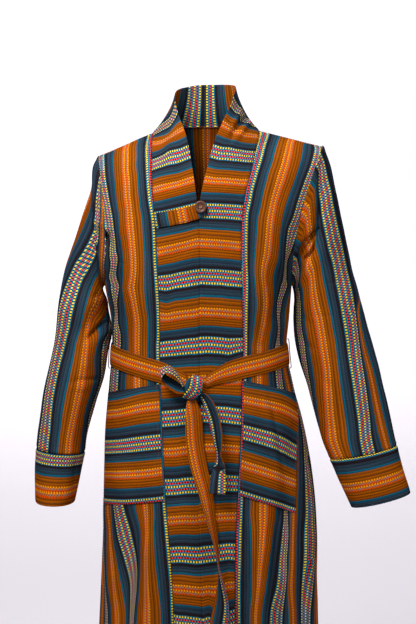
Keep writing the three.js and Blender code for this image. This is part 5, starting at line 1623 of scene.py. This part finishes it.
def stitch(piece, material, slot, rows, thick=THICK, radius=0.22, name=None, keep=slice(None)):
    """Stitches on a made piece, in one mesh; rows are (axis, distance, whether from the far edge)."""
    _, p, n = made[piece]
    rows = [seam_row(p, n, edge_path(p, *row)[keep], thick) for row in rows]
    starts, ends, ups = [np.concatenate([r[k] for r in rows]) for k in range(3)]
    bars("stitches_" + (name or piece), starts, ends, radius, material, 0.12, ups)


button()
hub = BUTTON_AT + [0, -1.6, 0]
legs = [leg for leg in ((-1, -1, 1, 1), (-1, 1, 1, -1)) for _ in range(3)]
starts = [hub + [a * 2.4, -0.5, b * 2.4] for a, b, c, d in legs]
ends = [hub + [c * 2.4, -0.5, d * 2.4] for a, b, c, d in legs]
nudge = np.array([[0.28 * (k % 3 - 1), -0.35 * (k // 3), 0.28 * (k % 3 - 1) * (1 if k < 3 else -1)]
                  for k in range(6)])
bars("button_thread", np.array(starts) + nudge, np.array(ends) + nudge, 0.22, CREAM, 0.3,
     np.tile([0.0, -1.0, 0.0], (6, 1)), "button")

SIDE, END, HEM_DEPTH = 1, 0, 20.0
for side, word in SIDES:
    stitch("pocket_" + word, RUSSET, "striped_cotton",
           [(SIDE, 4.5, False), (SIDE, 3.0, True), (END, 3.0, True), (END, 17.0, False)], POCKET_THICK, 0.26)
    stitch("band_" + word, NAVY, "band_cotton", [(SIDE, 2.2, False), (END, HEM_DEPTH, True)])
    stitch("front_" + word, RUSSET, "striped_cotton", [(END, HEM_DEPTH, True)])
    stitch("cuff_" + word, RUSSET, "band_cotton", [(END, 3.5, False), (END, 5.0, True)], CUFF_THICK)
stitch("back", RUSSET, "striped_cotton", [(END, HEM_DEPTH, True), (END, 3.0, False)])
stitch("button_tab", NAVY, "band_cotton", [(SIDE, 2.0, False), (SIDE, 2.0, True)], 1.7, name="tab",
       keep=slice(2, -4))

# ---- Studio: pale floor running up into a backdrop, soft lights ------------------------------


WALL = 8.4    # metres to the backdrop: behind every camera that looks at the robe's back
FLOOR, BEND = -1.32, 1.6    # height of the floor, and radius of its run up into the wall


def studio():
    k = Nodes("studio_paper")
    place = k.put("TexCoord").outputs["Object"]
    tone = k.noise(place, 0.7, 1.0)
    near = k.remap(k.put("SeparateXYZ", {0: place}).outputs[1], 0.9, 1.5, 0, 1, True)
    base = k.mix(near, colour(176, 170, 168), k.mix(tone, colour(242, 237, 243), colour(246, 242, 248)))
    paper = k.finish(base, k.noise(place, 90.0, 2.0), 0.0004, 0.15, Roughness=0.95, Specular_IOR_Level=0.05)
    profile = [(-9.0, FLOOR), (WALL - BEND, FLOOR)]
    for step in range(1, 13):
        a = math.radians(90 * step / 12)
        profile.append((WALL - BEND + BEND * math.sin(a), FLOOR + BEND * (1 - math.cos(a))))
    profile += [(WALL, 2.0), (WALL, 7.0)]
    xs = np.linspace(-9, 9, 13)
    points = [(x * 1000, y * 1000, z * 1000) for y, z in profile for x in xs]
    quads = [[k, k + 1, k + 14, k + 13] for r in range(len(profile) - 1) for k in range(r * 13, r * 13 + 12)]
    mesh_object("stage_floor", points, quads, None, paper)


def lamp(name, place, aim, size, power):
    data = bpy.data.lights.new(name, "AREA")
    data.shape, data.size, data.size_y, data.energy = "RECTANGLE", *size, power
    o = bpy.data.objects.new(name, data)
    o.location = place
    ahead = np.array(aim, float) - np.array(place, float)
    tilt, turn = math.acos(-ahead[2] / np.linalg.norm(ahead)), math.atan2(ahead[1], ahead[0])
    o.rotation_euler = (tilt, 0, turn - math.pi / 2)
    bpy.context.scene.collection.objects.link(o)


studio()
world = bpy.data.worlds.new("studio") if bpy.context.scene.world is None else bpy.context.scene.world
bpy.context.scene.world = world
world.use_nodes = True
world.node_tree.nodes["Background"].inputs[0].default_value = (0.99, 0.98, 1.0, 1)
world.node_tree.nodes["Background"].inputs[1].default_value = 0.36
lamp("key", (-0.65, -1.2, 1.15), (0, 0, 0.4), (0.7, 0.7), 48)
lamp("fill", (1.3, -1.7, 1.2), (0.1, 0, 0.3), (1.1, 1.1), 16)
lamp("top", (0.0, 0.4, 2.4), (0, 0, -0.4), (2.0, 1.6), 12)
lamp("backdrop", (-0.5, WALL - 2.4, 2.9), (-0.4, WALL, 0.6), (4.0, 1.0), 130)
lamp("floor", (-0.4, 3.6, 2.6), (-0.3, 4.6, -1.3), (3.0, 1.4), 60)
